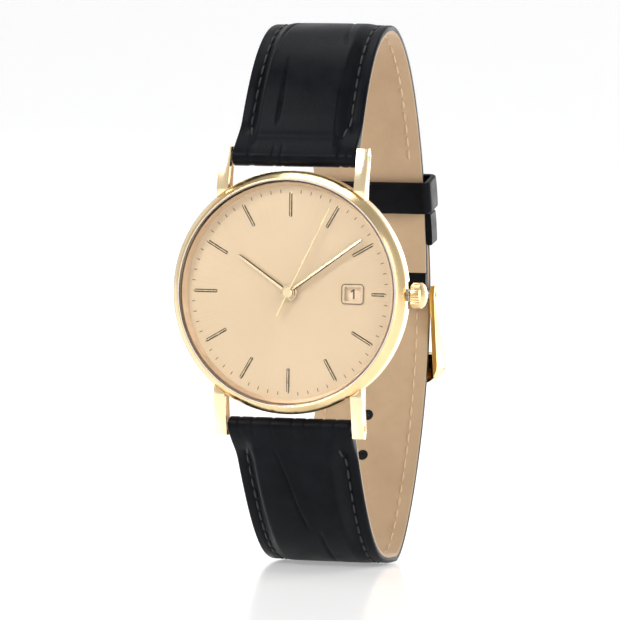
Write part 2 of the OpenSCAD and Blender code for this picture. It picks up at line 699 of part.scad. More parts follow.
module main_plate() color(brass) face() {
    difference() {
        disc(move_r, plate_low, plate_top);
        disc(centre_tube_r + run_fit, 0, 9);
        disc(hour_n * hour_module / 2 + 0.3, recess_h, 9);
        disc(minute_n * module12 / 2 + 0.25, recess_h, 9, [motion_d, 0]);
        disc(setting_n * module12 / 2 + 0.25, recess_h, 9, [motion_d + setting_d, 0]);
        translate([stem_in, -pinion_r - 0.12, plate_low - 1]) cube([20, 2 * pinion_r + 0.24, 4]);
        for (at = [third_at, inter_at, rotor_at]) disc(pivot_bore, 0, plate_low + 0.2, at);
        for (a = [60, 240]) disc(foot_r + run_fit, 0, 9, foot_at * unit(a));
    }
    disc(minute_post_r, recess_h, plate_top - 0.03, [motion_d, 0]);
    disc(setting_post_r, recess_h, plate_top - 0.03, [motion_d + setting_d, 0]);
    disc(day_post_r, plate_top, day_h + day_t + finger_t, day_at);
    disc(lever_post_r, plate_low - 0.22, plate_low, [groove_x, -lever_arm]);
}
module train_bridge() color(steel) face() difference() {
    union() {
        layer(bridge_low, bridge_top) polygon([[-5.7, 1.2], [-5.4, -0.1], [-0.9, -1.5], [3.6, -4.4], [6.3, -3.4],
            [6.7, 1.8], [2.4, 5.9], [-2.6, 5.2]]);
        for (at = posts) disc(0.5, bridge_top, plate_low, at);
    }
    disc(arbor_r + run_fit, 0, 3);
    for (at = [third_at, inter_at, rotor_at]) disc(pivot_bore, 0, 3, at);
    for (at = posts) disc(screw_r, 0, 9, at);
}
module bridge_screws() color(steel) face() for (at = posts) difference() {
    union() {
        disc(0.45, back_t + 0.05, bridge_low, at);
        disc(screw_r, bridge_low, plate_low - 0.3, at);
    }
    translate([at[0], at[1], back_t]) cube([2, 0.12, 0.2], center = true);
}

// ---- strap ----
module half_strap(path, acc, full, from, to, kind) {
    idx = cut(path, acc, from, to);
    total = acc[len(acc) - 1];
    // a strap that goes on past its full length narrows to a rounded tip
    function end_w(s) = let (r = total - s) full == total || r > tip_len ? 1
        : 0.5 + 0.5 * sqrt(1 - pow(1 - r / tip_len, 2));
    sweep(pick(path, idx), [for (i = idx) let (s = acc[i], w = width(s, full))
        [for (q = kind == "leather" ? half_leather(w, edge_t(s), pad_at(s))
            : kind == "filler" ? half_filler(w, edge_t(s), pad_at(s)) : half_lining(w)) [q[0] * end_w(s), q[1]]]],
        kind == "leather" ? leather_caps : plain_caps);
}
module lug_roll() {
    bar_x(roll_r, -strap_w / 2, strap_w / 2, lug_bar);
}
module lug_roll_bore() {
    bar_x(bar_r + run_fit, -strap_w, strap_w, lug_bar);
}
module strap12_leather() color(leather) difference() {
    union() {
        half_strap(upper_path, upper_run, upper_len, 0, upper_len, "leather");
        lug_roll();
        bar_x(heel_roll_r, -buckle_w / 2, buckle_w / 2, heel_bar);
    }
    lug_roll_bore();
    bar_x(heel_bar_r + run_fit, -buckle_w, buckle_w, heel_bar);
    translate([-1.35, heel_bar[0] - 5, heel_bar[1] - 5]) cube([2.7, 10, 7.2]);
}
module strap12_filler() color("#8a7a66")
    half_strap(upper_path, upper_run, upper_len, inner_start, upper_len - 3, "filler");
module strap12_lining() color(tan)
    half_strap(upper_path, upper_run, upper_len, inner_start, upper_len - 2.6, "lining");
first_hole = pass_s - used_hole_d;
module hole_row(grow = 0) {
    for (i = [-1:4]) let (s = first_hole - i * hole_pitch, p = along(lower_path, lower_run, s),
        a = along_turn(lower_path, lower_run, s), long = i == 0 ? 2 : 0)
        translate([0, p[0], p[1]]) rotate([a, 0, 0]) for (d = [-long / 2, long / 2])
            translate([0, d, -1]) cylinder(r = (i == 0 ? tang_w / 2 + hole_play : hole_d / 2), h = 4, $fn = 48);
    for (s = [first_hole]) let (p = along(lower_path, lower_run, s), a = along_turn(lower_path, lower_run, s))
        translate([0, p[0], p[1]]) rotate([a, 0, 0]) translate([-tang_w / 2 - hole_play, -1, -1])
            cube([tang_w + 2 * hole_play, 2, 4]);
}
module strap6_leather() color(leather) mirror([0, 0, 1]) difference() {
    union() {
        half_strap(lower_path, lower_run, pass_s, 0, lower_len, "leather");
        lug_roll();
    }
    lug_roll_bore();
    hole_row();
}
module strap6_filler() color("#8a7a66") mirror([0, 0, 1]) difference() {
    half_strap(lower_path, lower_run, pass_s, inner_start, lower_len, "filler");
    hole_row();
}
module strap6_lining() color(tan) mirror([0, 0, 1]) difference() {
    half_strap(lower_path, lower_run, pass_s, inner_start, lower_len, "lining");
    hole_row();
}
module stitches(path, acc, full, from, to) {
    count = floor((to - from) / stitch_pitch);
    for (side = [-1, 1]) for (i = [0:count]) let (s = from + i * stitch_pitch, p = along(path, acc, s),
        a = along_turn(path, acc, s))
        translate([side * (width(s, full) / 2 - seam_in), p[0], p[1]]) rotate([a, 0, 0])
            translate([-0.15, -stitch_len / 2, edge_t(s) + stitch_lift]) cube([0.3, stitch_len, 0.15]);
}
module strap12_stitches() color("#2a2b2f")
    stitches(upper_path, upper_run, upper_len, seam_start, upper_len - seam_stop12);
module strap6_stitches() color("#2a2b2f") mirror([0, 0, 1])
    stitches(lower_path, lower_run, pass_s, seam_start, pass_s - seam_stop6);

// ---- keepers ----
lap_t = 2 * strap_t + lap_gap;
fixed_s = upper_len - keeper_back;
free_s = fixed_s - keeper_len - keeper_gap;
module on_strap(s) {
    p = along(upper_path, upper_run, s);
    a = along_turn(upper_path, upper_run, s);
    translate([0, p[0], p[1]]) rotate([a, 0, 0]) children();
}
module keeper_band(s, low) {
    half = width(s, upper_len) / 2 + keeper_play;
    high = lap_t + keeper_play + 0.1;
    on_strap(s) translate([0, keeper_len / 2, 0]) rotate([90, 0, 0]) linear_extrude(keeper_len) difference() {
        polygon([[-half - keeper_t, low + 0.4], [-half - keeper_t + 0.4, low], [half + keeper_t - 0.4, low],
            [half + keeper_t, low + 0.4], [half + keeper_t, high + keeper_t - 0.7],
            [half + keeper_t - 0.7, high + keeper_t],
            [-half - keeper_t + 0.7, high + keeper_t], [-half - keeper_t, high + keeper_t - 0.7]]);
        translate([-half, low < -0.5 ? -keeper_play : low - 1])
            square([2 * half, high - (low < -0.5 ? -keeper_play : low - 1)]);
    }
}
module fixed_keeper() color(leather) {
    keeper_band(fixed_s, 0.05);
    // stitched legs that close the gap to the strap's edges
    on_strap(fixed_s) for (side = [0, 1]) mirror([side, 0, 0])
        translate([width(fixed_s, upper_len) / 2, -keeper_len / 2, lining_t])
            cube([keeper_play + seat_fit, keeper_len, 0.6]);
}
module free_keeper() color(leather) keeper_band(free_s, -keeper_play - keeper_t);

// ---- buckle ----
arm_in = buckle_w / 2 + 0.75;
arm_out = arm_in + arm_t;
// Outlines in (out from the bar, down from the bar)
module at_heel() {
    translate([0, heel_bar[0], heel_bar[1]]) children();
}
arm_outline = [[-0.9, 0.5], [-0.9, -0.7], [1.6, -buckle_len + 1.2], [2.6, -buckle_len + 0.2],
    [4.6, -buckle_len + 0.6], [6.1, -buckle_len + 2.2], [1.75, 0.7], [0.9, 1.35], [-0.4, 1.25]];
bar_outline = [[2.05, -buckle_len + 4.4], [2.6, -buckle_len + 0.2], [3.6, -buckle_len], [5.2, -buckle_len + 0.8],
    [6.1, -buckle_len + 2.2], [5.3, -buckle_len + 4.2], [3.5, -buckle_len + 4.7]];
bar_hollow = [[1, -buckle_len + 3.7], [1, -buckle_len + 0.9], [4, -buckle_len + 0.8], [5.2, -buckle_len + 2.2],
    [4.6, -buckle_len + 3.7]];
tang_play = 0.15;
corner_r = 3;
// how far out the tang's rest stays open
rest_out = 8;
rest_top = -6;
tang_outline = [[-0.75, -0.7], [-0.3, -4.6], [2.5, -7.9], [3.4, -buckle_len + 0.9], [4.3, -buckle_len + 0.7],
    [5.1, -buckle_len + 1.1], [3.3, -7.1], [0.5, -4.1], [0.5, -0.85]];
module buckle_frame() color(gold) at_heel() difference() {
    union() {
        for (side = [-1, 1]) translate([side * (arm_in + arm_t / 2), 0, 0]) across(arm_t) polygon(arm_outline);
        across(2 * arm_out - 0.1) polygon(bar_outline);
    }
    across(2 * arm_in - 1.2) polygon(bar_hollow);
    bar_x(bar_pin_r + 0.02, -20, 20, [0, 0]);
    // rest for the tang, open on the side that it swings out to
    across(tang_w + 0.4) offset(delta = tang_play) union() {
        polygon(tang_outline);
        polygon([tang_outline[2], tang_outline[3], tang_outline[4], [rest_out, -buckle_len], [rest_out, rest_top]]);
    }
    // rounded lower corners, seen from behind
    for (side = [0, 1]) mirror([side, 0, 0]) translate([arm_out - corner_r, 0, corner_r - buckle_len])
        rotate([-90, 0, 0]) difference() {
            translate([0, 0, -5]) cube([corner_r + 1, corner_r + 1, 20]);
            translate([0, 0, -6]) cylinder(r = corner_r, h = 22, $fn = 64);
        }
}
module heel_bar_tube() color(steel) at_heel() difference() {
    bar_x(heel_bar_r, -arm_in + 0.15, arm_in - 0.15, [0, 0]);
    bar_x(bar_pin_r, -20, 20, [0, 0]);
}
module heel_bar_pins() color(steel) at_heel() for (side = [0, 1]) mirror([side, 0, 0])
    bar_x(bar_pin_r, arm_in - 2.2, arm_out - 0.1, [0, 0]);
module tang() color(gold) at_heel() {
    difference() {
        bar_x(1.05, -1.15, 1.15, [0, 0]);
        bar_x(heel_bar_r + run_fit, -5, 5, [0, 0]);
    }
    difference() {
        across(tang_w) polygon(tang_outline);
        bar_x(heel_bar_r + run_fit, -5, 5, [0, 0]);
    }
}

case_middle();
bezel();
crystal();
crystal_gasket();
rehaut();
case_back();
back_gasket();
crown_tube();
crown();
crown_gasket();
stem();
sliding_pinion();
setting_lever();
dial();
hour_indices();
minute_track();
date_frame();
date_ring();
date_wheel();
hour_hand();
minute_hand();
seconds_hand();
hour_wheel();
cannon_pinion();
minute_wheel();
setting_wheel();
seconds_wheel();
centre_wheel();
third_wheel();
intermediate_wheel();
rotor();
stator();
coil();
circuit_board();
quartz_can();
battery();
battery_clamp();
main_plate();
train_bridge();
bridge_screws();
movement_ring();
lug_bar_tubes();
lug_bar_pins();
strap12_leather();
strap12_filler();
strap12_lining();
strap12_stitches();
strap6_leather();
strap6_filler();
strap6_lining();
strap6_stitches();
fixed_keeper();
free_keeper();
heel_bar_tube();
heel_bar_pins();
buckle_frame();
tang();
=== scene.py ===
"""Slim gold dress watch on a padded black leather strap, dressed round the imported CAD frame.

Everything is in the frame's metres: the dial faces -Y, 12 o'clock is +Z and the crown points to +X.
Sizes below are in millimetres and pass through MM on the way into a mesh.
"""

import math

import bmesh
import bpy
import numpy as np
from mathutils import Matrix, Vector


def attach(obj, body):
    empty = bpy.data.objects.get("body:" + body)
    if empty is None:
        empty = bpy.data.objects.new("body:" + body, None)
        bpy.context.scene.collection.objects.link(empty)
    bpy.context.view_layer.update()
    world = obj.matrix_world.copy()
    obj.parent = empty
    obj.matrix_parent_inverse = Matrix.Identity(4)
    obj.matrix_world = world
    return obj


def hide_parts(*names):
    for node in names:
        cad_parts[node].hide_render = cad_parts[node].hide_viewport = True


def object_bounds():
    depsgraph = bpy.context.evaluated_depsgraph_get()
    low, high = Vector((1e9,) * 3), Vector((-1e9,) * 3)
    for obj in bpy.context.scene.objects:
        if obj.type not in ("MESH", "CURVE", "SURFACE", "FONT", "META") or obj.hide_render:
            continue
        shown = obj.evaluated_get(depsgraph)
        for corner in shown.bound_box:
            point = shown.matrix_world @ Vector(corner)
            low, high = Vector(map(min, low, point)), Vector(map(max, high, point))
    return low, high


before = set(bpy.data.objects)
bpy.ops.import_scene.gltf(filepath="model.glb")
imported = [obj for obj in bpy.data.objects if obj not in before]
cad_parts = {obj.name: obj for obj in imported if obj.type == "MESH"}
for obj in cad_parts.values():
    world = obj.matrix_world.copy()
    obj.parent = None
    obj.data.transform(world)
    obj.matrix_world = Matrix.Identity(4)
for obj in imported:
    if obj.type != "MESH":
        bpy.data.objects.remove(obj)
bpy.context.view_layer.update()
MM = 0.001
RNG = np.random.default_rng(34)

# ---------------------------------------------------------------- sizes shared with the frame, mm
LUG_BAR = np.array([-2.3, 18.8])
ROLL_R = 1.25
BAR_R = 0.75
LEAD_ANGLE = 62.0
LOOP_DEPTH, LOOP_TOP, LOOP_BOTTOM = 35.86, 36.55, 37.8
HEEL = np.array([LOOP_DEPTH, -1.0])
HEEL_BAR = HEEL + [0.5, 0.0]
HEEL_ROLL_R = 1.1
HEEL_BAR_R = 0.65
STRAP_W, BUCKLE_W = 18.0, 16.0
STRAP_T, LINING_T, PAD_T = 1.2, 0.45, 2.9
LAP_GAP = 0.15
SEAM_IN = 1.7
TAIL_RISE = 15.0
HOLE_PITCH, HOLE_R, USED_HOLE = 6.2, 0.65, 5.7
KEEPER_LEN, KEEPER_T, KEEPER_PLAY, KEEPER_BACK = 4.7, 0.9, 0.35, 9.5
KEEPER_GAP = 0.35
TANG_W = 1.25
DIAL_TOP = 3.95
DATE_R, DATE_TOP = 9.25, 3.48
# tip radius, width, height over the case back and hub radius
HANDS = {"hour": (9.0, 0.56, 4.30, 1.15), "minute": (13.0, 0.5, 4.62, 0.9)}
SECONDS_H = 4.94
# hour, minute and second
SHOWN = (10, 9, 4.4)

# ---------------------------------------------------------------- looks of the strap, mm
TIP_LEN = 5
EDGE_RUN, PAD_RUN = 6, 6.4
PAD_FALL_FROM, PAD_FALL_RUN, PAD_LEFT = 9, 20, 0.08
LINE_DEPTH, LINE_WIDTH = 0.25, 0.2
PLEAT_DEPTH, PLEAT_WIDTH = 0.09, 0.16
ROW_DEPTH, ROW_WIDTH = 0.11, 0.24
SPLIT_DEPTH, SPLIT_WIDTH = 0.13, 0.2
SEAM_DEPTH, SEAM_WIDTH = 0.16, 0.36
LEATHER_ROUND, ROLL_ROUND = 0.32, 0.2
LINING_INSET, LINING_ROUND, LINING_FROM = 0.06, 0.1, 1.3
BORE_PLAY = 0.04
SLOT_HALF, SLOT_S = 1.35, 3.0
TANG_SLOT, TANG_PLAY = 2.0, 0.15
CLOSED_R = 0.22
STAIN_W, STAIN_LOW, STAIN_HIGH = 0.14, -0.03, 0.3
STITCH_PITCH, STITCH_FROM = 2.0, 3.9
THREAD_OUT, THREAD_IN = 0.03, -0.02
KEEPER_BEND, KEEPER_ROUND = 0.75, 0.3


# ---------------------------------------------------------------- strap paths, in the YZ plane
def unit(deg):
    return np.array([math.cos(math.radians(deg)), math.sin(math.radians(deg))])


def span(a, a_dir, a_len, b, b_dir, b_len, n=160):
    """A cubic curve from a to b with the headings and reaches given."""
    t = np.linspace(0, 1, n)[:, None]
    p1, p2 = a + a_len * unit(a_dir), b - b_len * unit(b_dir)
    u = 1 - t
    return u**3 * a + 3 * u**2 * t * p1 + 3 * u * t * t * p2 + t**3 * b


def flip(p):
    return np.array([p[0], -p[1]])


class Path:
    """A strap's inner line, read by the distance s along it."""

    def __init__(self, *spans, mirrored=False):
        points = np.concatenate([spans[0]] + [c[1:] for c in spans[1:]])
        steps = np.linalg.norm(np.diff(points, axis=0), axis=1)
        self.s = np.concatenate([[0], np.cumsum(steps)])
        self.points = points
        self.length = self.s[-1]
        self.turn = np.unwrap(np.arctan2(*np.gradient(points, axis=0).T[::-1]))
        self.mirrored = mirrored

    def at(self, s, out=0.0):
        """Point at s, out millimetres from the inner line, in the frame's Y and Z."""
        y = np.interp(s, self.s, self.points[:, 0])
        z = np.interp(s, self.s, self.points[:, 1])
        a = np.interp(s, self.s, self.turn) + math.pi / 2
        y, z = y + out * np.cos(a), z + out * np.sin(a)
        return y, (-z if self.mirrored else z)


start = LUG_BAR + ROLL_R * unit(LEAD_ANGLE - 90)
top_knot = np.array([LOOP_DEPTH * 0.418, LOOP_TOP])
upper = Path(span(start, LEAD_ANGLE, 6, top_knot, 0, 10),
             span(top_knot, 0, 12, HEEL, -91, 10.3))
low_knot = np.array([LOOP_DEPTH * 0.6, LOOP_BOTTOM])
heel_pass = flip(HEEL) + [0.5 + HEEL_ROLL_R + LAP_GAP, 0.0]
tail_s = upper.s[np.where(upper.points[:, 1] >= TAIL_RISE)[0][-1]]
lapped = np.array(upper.at(tail_s, STRAP_T + LAP_GAP))
tail_turn = -180 - math.degrees(np.interp(tail_s, upper.s, upper.turn))
to_pass = [span(start, LEAD_ANGLE, 22.9, low_knot, 0, 7.6),
           span(low_knot, 0, 4.4, heel_pass, -90, 18)]
PASS_S = Path(*to_pass).length
lower = Path(*to_pass, span(heel_pass, -90, 4, flip(lapped), tail_turn, 6), mirrored=True)
FIXED_S = upper.length - KEEPER_BACK
FREE_S = FIXED_S - KEEPER_LEN - KEEPER_GAP
# the upper half's lining seam stops where the free keeper slides
BACK_SEAM_END = FREE_S - 6.5


def smooth(t):
    t = np.clip(t, 0, 1)
    return t * t * (3 - 2 * t)


def bell(offset, width):
    return np.exp(-((offset / width) ** 2))


def quarter_round(t):
    """A rounded edge's height, from 0 at t = 0 to 1 at t = 1 and beyond."""
    return np.sqrt(np.clip(1 - (1 - np.minimum(t, 1)) ** 2, 0, 1))


def half_width(path, s):
    full = path.length if path is upper else PASS_S
    w = STRAP_W + (BUCKLE_W - STRAP_W) * np.minimum(1, s / full)
    tip = 0.5 + 0.5 * quarter_round((path.length - s) / TIP_LEN)
    return w / 2 * (1.0 if path is upper else tip)


def edge_height(s):
    return 2 * ROLL_R + (STRAP_T - 2 * ROLL_R) * smooth(s / EDGE_RUN)


def pad_height(s):
    rise = 2 * ROLL_R + (PAD_T - 2 * ROLL_R) * smooth(s / PAD_RUN)
    rise = rise - 0.12 * bell(s - 2.9, 0.5)
    fall = PAD_T + (STRAP_T + PAD_LEFT - PAD_T) * smooth((s - PAD_FALL_FROM) / PAD_FALL_RUN)
    return np.where(s < 8, rise, fall)


# ---------------------------------------------------------------- embossed scales
def scale_rows(first, last):
    """Cross creases along a strap half and the splits in each row of scales."""
    rows, s, size = [], first, 11.0
    while s < last:
        splits = sorted(RNG.uniform(-5.5, 5.5, 1 if size > 7 else 2))
        rows.append((s, size, splits))
        s += size * RNG.uniform(0.85, 1.1)
        size = max(4.6, size * 0.86)
    return rows


def roll_creases():
    """Places across the strap where the leather pleats as it turns round the lug bar."""
    return RNG.uniform(-STRAP_W / 2 + 1, STRAP_W / 2 - 1, 7)


EMBOSS = {
    "12": {"lines": [(-2.9, 4.6, -3.1, 14.5), (4.3, 17.5, 3.2, 27.0), (-5.4, 16.0, -4.6, 25.0)],
           "rows": scale_rows(27.5, 72), "pleats": roll_creases()},
    "6": {"lines": [(-2.4, 3.0, 0.3, 16.4), (2.0, 17.0, 1.6, 28.5)],
          "rows": scale_rows(28.5, 90), "pleats": roll_creases()},
}


def emboss_depth(x, s, half):
    """Depth of the creases between the scales at x across and s along."""
    marks = EMBOSS[half]
    depth = np.zeros(np.broadcast(x, s).shape)
    for x0, s0, x1, s1 in marks["lines"]:
        t = np.clip((s - s0) / (s1 - s0), 0, 1)
        line = x0 + (x1 - x0) * t + 0.12 * np.sin(s * 0.5 + x0)
        ends = np.maximum(s0 - s, s - s1)
        fade = smooth(1 - np.clip(ends + 1.6, 0, 2.2) / 2.2)
        depth = np.maximum(depth, LINE_DEPTH * fade * bell(x - line, LINE_WIDTH))
    for pleat in marks["pleats"]:
        line = pleat + 0.15 * s
        fade = smooth((1.7 - s) / 1.3)
        depth = np.maximum(depth, PLEAT_DEPTH * fade * bell(x - line, PLEAT_WIDTH))
    for s0, size, splits in marks["rows"]:
        wave = s0 + 0.3 * np.sin(x * 0.9 + s0) + 0.02 * x * x
        depth = np.maximum(depth, ROW_DEPTH * bell(s - wave, ROW_WIDTH))
        inside = smooth((s - s0 - 0.2) / 0.8) * smooth((s0 + size - 0.6 - s) / 0.8)
        for split in splits:
            line = split + 0.3 * np.sin(s + split)
            depth = np.maximum(depth, SPLIT_DEPTH * inside * bell(x - line, SPLIT_WIDTH))
    return depth


def leather_top(path, half, x, s, w):
    """Height of the outer leather over the strap's inner line."""
    d = w - np.abs(x)
    e, p = edge_height(s), pad_height(s)
    body = e + (p - e) * smooth((d - 1.85) / 1.7) - 0.25 * (p - e) / 2 * (x / w) ** 2
    seam = SEAM_DEPTH * bell(d - SEAM_IN, SEAM_WIDTH) * smooth((s - 3.2) / 1.2)
    corner = LEATHER_ROUND * (1 - quarter_round(d / LEATHER_ROUND))
    crease = emboss_depth(x, s, half) * smooth((d - 0.5) / 0.8)
    return body - seam - corner - crease


# ---------------------------------------------------------------- mesh helpers
def placed(name, data):
    """An object with this data, linked to the scene."""
    obj = bpy.data.objects.new(name, data)
    bpy.context.scene.collection.objects.link(obj)
    return obj


def outward_mesh(name, verts, faces, weld=True):
    mesh = bpy.data.meshes.new(name)
    mesh.from_pydata([tuple(v) for v in verts], [], [tuple(f) for f in faces])
    bm = bmesh.new()
    bm.from_mesh(mesh)
    if weld:
        bmesh.ops.remove_doubles(bm, verts=bm.verts, dist=1e-7)
    bmesh.ops.recalc_face_normals(bm, faces=bm.faces)
    bm.to_mesh(mesh)
    bm.free()
    return mesh


def mesh_object(name, verts, faces, finish, smooth_angle=None):
    return finish_mesh(name, outward_mesh(name, verts, faces), finish, smooth_angle)


def finish_mesh(name, mesh, finish, smooth_angle=None):
    obj = placed(name, mesh)
    mesh.materials.clear()
    mesh.materials.append(finish)
    mesh.polygons.foreach_set("material_index", [0] * len(mesh.polygons))
    mesh.polygons.foreach_set("use_smooth", [True] * len(mesh.polygons))
    if smooth_angle is not None:
        mesh.set_sharp_from_angle(angle=math.radians(smooth_angle))
    mesh.update()
    return obj


def applied(obj):
    """obj with its modifiers made part of its mesh."""
    bpy.context.view_layer.update()
    depsgraph = bpy.context.evaluated_depsgraph_get()
    mesh = bpy.data.meshes.new_from_object(obj.evaluated_get(depsgraph), depsgraph=depsgraph)
    obj.modifiers.clear()
    obj.data = mesh
    return obj


def ring_tube(rings, closed=False):
    """Vertices and faces of a skin through equal rings of points, with capped ends."""
    n, m = len(rings), len(rings[0])
    verts = [p for ring in rings for p in ring]
    faces = []
    for i in range(n if closed else n - 1):
        a, b = i * m, ((i + 1) % n) * m
        faces += [(a + j, a + (j + 1) % m, b + (j + 1) % m, b + j) for j in range(m)]
    if not closed:
        faces += [tuple(range(m)), tuple((n - 1) * m + j for j in range(m))]
    return verts, faces


def softened(name, cad_name, body, finish, width, segments=2):
    """A metal piece that stands for a CAD node with its sharp edges rounded."""
    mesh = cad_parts[cad_name].data.copy()
    bm = bmesh.new()
    bm.from_mesh(mesh)
    bmesh.ops.remove_doubles(bm, verts=bm.verts, dist=2e-6)
    bmesh.ops.dissolve_limit(bm, angle_limit=math.radians(0.6), verts=bm.verts,
                             edges=bm.edges)
    bmesh.ops.recalc_face_normals(bm, faces=bm.faces)
    bm.to_mesh(mesh)
    bm.free()
    if "custom_normal" in mesh.attributes:
        mesh.attributes.remove(mesh.attributes["custom_normal"])
    obj = finish_mesh(name, mesh, finish)
    bevel = obj.modifiers.new("rounding", "BEVEL")
    bevel.width = width * MM
    bevel.segments = segments
    bevel.limit_method = "ANGLE"
    bevel.angle_limit = math.radians(32)
    bevel.harden_normals = False
    bevel.use_clamp_overlap = True
    applied(obj)
    obj.data.set_sharp_from_angle(angle=math.radians(38))
    settle(obj, body, "gold", cad_name)


# ---------------------------------------------------------------- shader helpers
def shader_group(name, inputs, outputs):
    tree = bpy.data.node_groups.new(name, "ShaderNodeTree")
    for label, kind, value in inputs:
        tree.interface.new_socket(label, in_out="INPUT", socket_type=kind).default_value = value
    for label, kind in outputs:
        tree.interface.new_socket(label, in_out="OUTPUT", socket_type=kind)
    return tree, tree.nodes.new("NodeGroupInput"), tree.nodes.new("NodeGroupOutput")


def feed(tree, made, label, value):
    """Link a socket value to one of made's inputs, or set that input to a plain value."""
    if isinstance(value, bpy.types.NodeSocket):
        tree.links.new(value, made.inputs[label])
    else:
        made.inputs[label].default_value = value


def node(tree, kind, **values):
    """A node with its properties and input sockets set; a socket value links it."""
    made = tree.nodes.new(kind)
    for key, value in values.items():
        if key.startswith("set_"):
            setattr(made, key[4:], value)
            continue
        feed(tree, made, int(key[3:]) if key.startswith("in_") else key.replace("_", " "), value)
    return made


def mix_colour(tree, mask, low, high):
    made = node(tree, "ShaderNodeMix", set_data_type="RGBA", in_0=mask)
    for index, value in ((6, low), (7, high)):
        feed(tree, made, index, (*value, 1) if isinstance(value, tuple) else value)
    return made.outputs[2]


def between(tree, value, low, high, from_low=0.0, from_high=1.0):
    made = node(tree, "ShaderNodeMapRange", Value=value)
    ends = {"From Min": from_low, "From Max": from_high, "To Min": low, "To Max": high}
    for label, number in ends.items():
        made.inputs[label].default_value = number
    return made.outputs["Result"]


def handling_marks():
    """Soft smears and hairlines left on polished metal by handling."""
    tree, given, out = shader_group(
        "handling_marks",
        [("Vector", "NodeSocketVector", (0, 0, 0)), ("Smear scale", "NodeSocketFloat", 180.0),
         ("Hairline scale", "NodeSocketFloat", 2500.0)],
        [("Smear", "NodeSocketFloat"), ("Hairline", "NodeSocketFloat")])
    smear = node(tree, "ShaderNodeTexNoise", Vector=given.outputs["Vector"],
                 Scale=given.outputs["Smear scale"], Detail=5.0, Roughness=0.6)
    stretch = node(tree, "ShaderNodeMapping", Vector=given.outputs["Vector"],
                   Scale=(1.0, 0.06, 0.35), Rotation=(0.4, 0.2, 0.9))
    hair = node(tree, "ShaderNodeTexNoise", Vector=stretch.outputs[0],
                Scale=given.outputs["Hairline scale"], Detail=3.0, Roughness=0.7)
    tree.links.new(smear.outputs["Fac"], out.inputs["Smear"])
    tree.links.new(hair.outputs["Fac"], out.inputs["Hairline"])
    return tree


def hide_grain():
    """Fine pores and wrinkles of finished leather."""
    tree, given, out = shader_group(
        "hide_grain",
        [("Vector", "NodeSocketVector", (0, 0, 0)), ("Pore scale", "NodeSocketFloat", 2600.0),
         ("Wrinkle scale", "NodeSocketFloat", 700.0)],
        [("Height", "NodeSocketFloat"), ("Patch", "NodeSocketFloat")])
    pores = node(tree, "ShaderNodeTexVoronoi", set_feature="DISTANCE_TO_EDGE",
                 Vector=given.outputs["Vector"], Scale=given.outputs["Pore scale"])
    wrinkle = node(tree, "ShaderNodeTexNoise", Vector=given.outputs["Vector"],
                   Scale=given.outputs["Wrinkle scale"], Detail=6.0, Roughness=0.65)
    patch = node(tree, "ShaderNodeTexNoise", Vector=given.outputs["Vector"], Scale=260.0,
                 Detail=3.0)
    pore = between(tree, pores.outputs["Distance"], 0.0, 0.5, 0.0, 0.18)
    total = node(tree, "ShaderNodeMath", set_operation="ADD", in_0=pore,
                 in_1=wrinkle.outputs["Fac"])
    tree.links.new(total.outputs[0], out.inputs["Height"])
    tree.links.new(patch.outputs["Fac"], out.inputs["Patch"])
    return tree


MARKS = handling_marks()
GRAIN = hide_grain()


def material(name):
    made = bpy.data.materials.new(name)
    made.use_nodes = True
    tree = made.node_tree
    shader = tree.nodes["Principled BSDF"]
    place = node(tree, "ShaderNodeTexCoord").outputs["Object"]
    return made, tree, shader, place


def use_group(tree, group, **values):
    made = tree.nodes.new("ShaderNodeGroup")
    made.node_tree = group
    for key, value in values.items():
        feed(tree, made, key.replace("_", " "), value)
    return made


def bumped(tree, shader, height, strength, distance):
    bump = node(tree, "ShaderNodeBump", Height=height, Strength=strength, Distance=distance)
    feed(tree, shader, "Normal", bump.outputs["Normal"])


def polished_metal(name, pale, deep, rough=(0.1, 0.22), hair=0.04, smear_scale=180.0):
    made, tree, shader, place = material(name)
    marks = use_group(tree, MARKS, Vector=place, Smear_scale=smear_scale)
    mask = between(tree, marks.outputs["Smear"], 0, 1, 0.35, 0.65)
    feed(tree, shader, "Base Color", mix_colour(tree, mask, pale, deep))
    feed(tree, shader, "Roughness", between(tree, marks.outputs["Smear"], *rough, 0.3, 0.7))
    feed(tree, shader, "Metallic", 1.0)
    bumped(tree, shader, marks.outputs["Hairline"], hair, 2e-5)
    return made


def lined_gold(name, pale, deep, line):
    """Satin gold with a painted dark reflection: a dark colour on the facets that a face attribute
    marks.
    """
    made, tree, shader, place = material(name)
    marks = use_group(tree, MARKS, Vector=place, Smear_scale=900.0)
    # the attribute marks the facets where a dark reflection is painted
    painted_reflection_mask = node(tree, "ShaderNodeAttribute", set_attribute_name="painted_reflection").outputs["Fac"]
    gold = mix_colour(tree, marks.outputs["Smear"], pale, deep)
    feed(tree, shader, "Base Color", mix_colour(tree, painted_reflection_mask, gold, line))
    feed(tree, shader, "Metallic", between(tree, painted_reflection_mask, 1.0, 0.1))
    feed(tree, shader, "Roughness", between(tree, marks.outputs["Smear"], 0.2, 0.32, 0.3, 0.7))
    bumped(tree, shader, marks.outputs["Hairline"], 0.03, 2e-5)
    return made


def brushed_metal(name, pale, deep, rough=(0.28, 0.45), scale=(40.0, 1.0, 1.0), strength=0.15):
    made, tree, shader, place = material(name)
    line = node(tree, "ShaderNodeMapping", Vector=place, Scale=scale)
    grain = node(tree, "ShaderNodeTexNoise", Vector=line.outputs[0], Scale=900.0, Detail=4.0)
    feed(tree, shader, "Base Color", mix_colour(tree, grain.outputs["Fac"], pale, deep))
    feed(tree, shader, "Roughness", between(tree, grain.outputs["Fac"], *rough, 0.3, 0.7))
    feed(tree, shader, "Metallic", 1.0)
    bumped(tree, shader, grain.outputs["Fac"], strength, 3e-5)
    return made


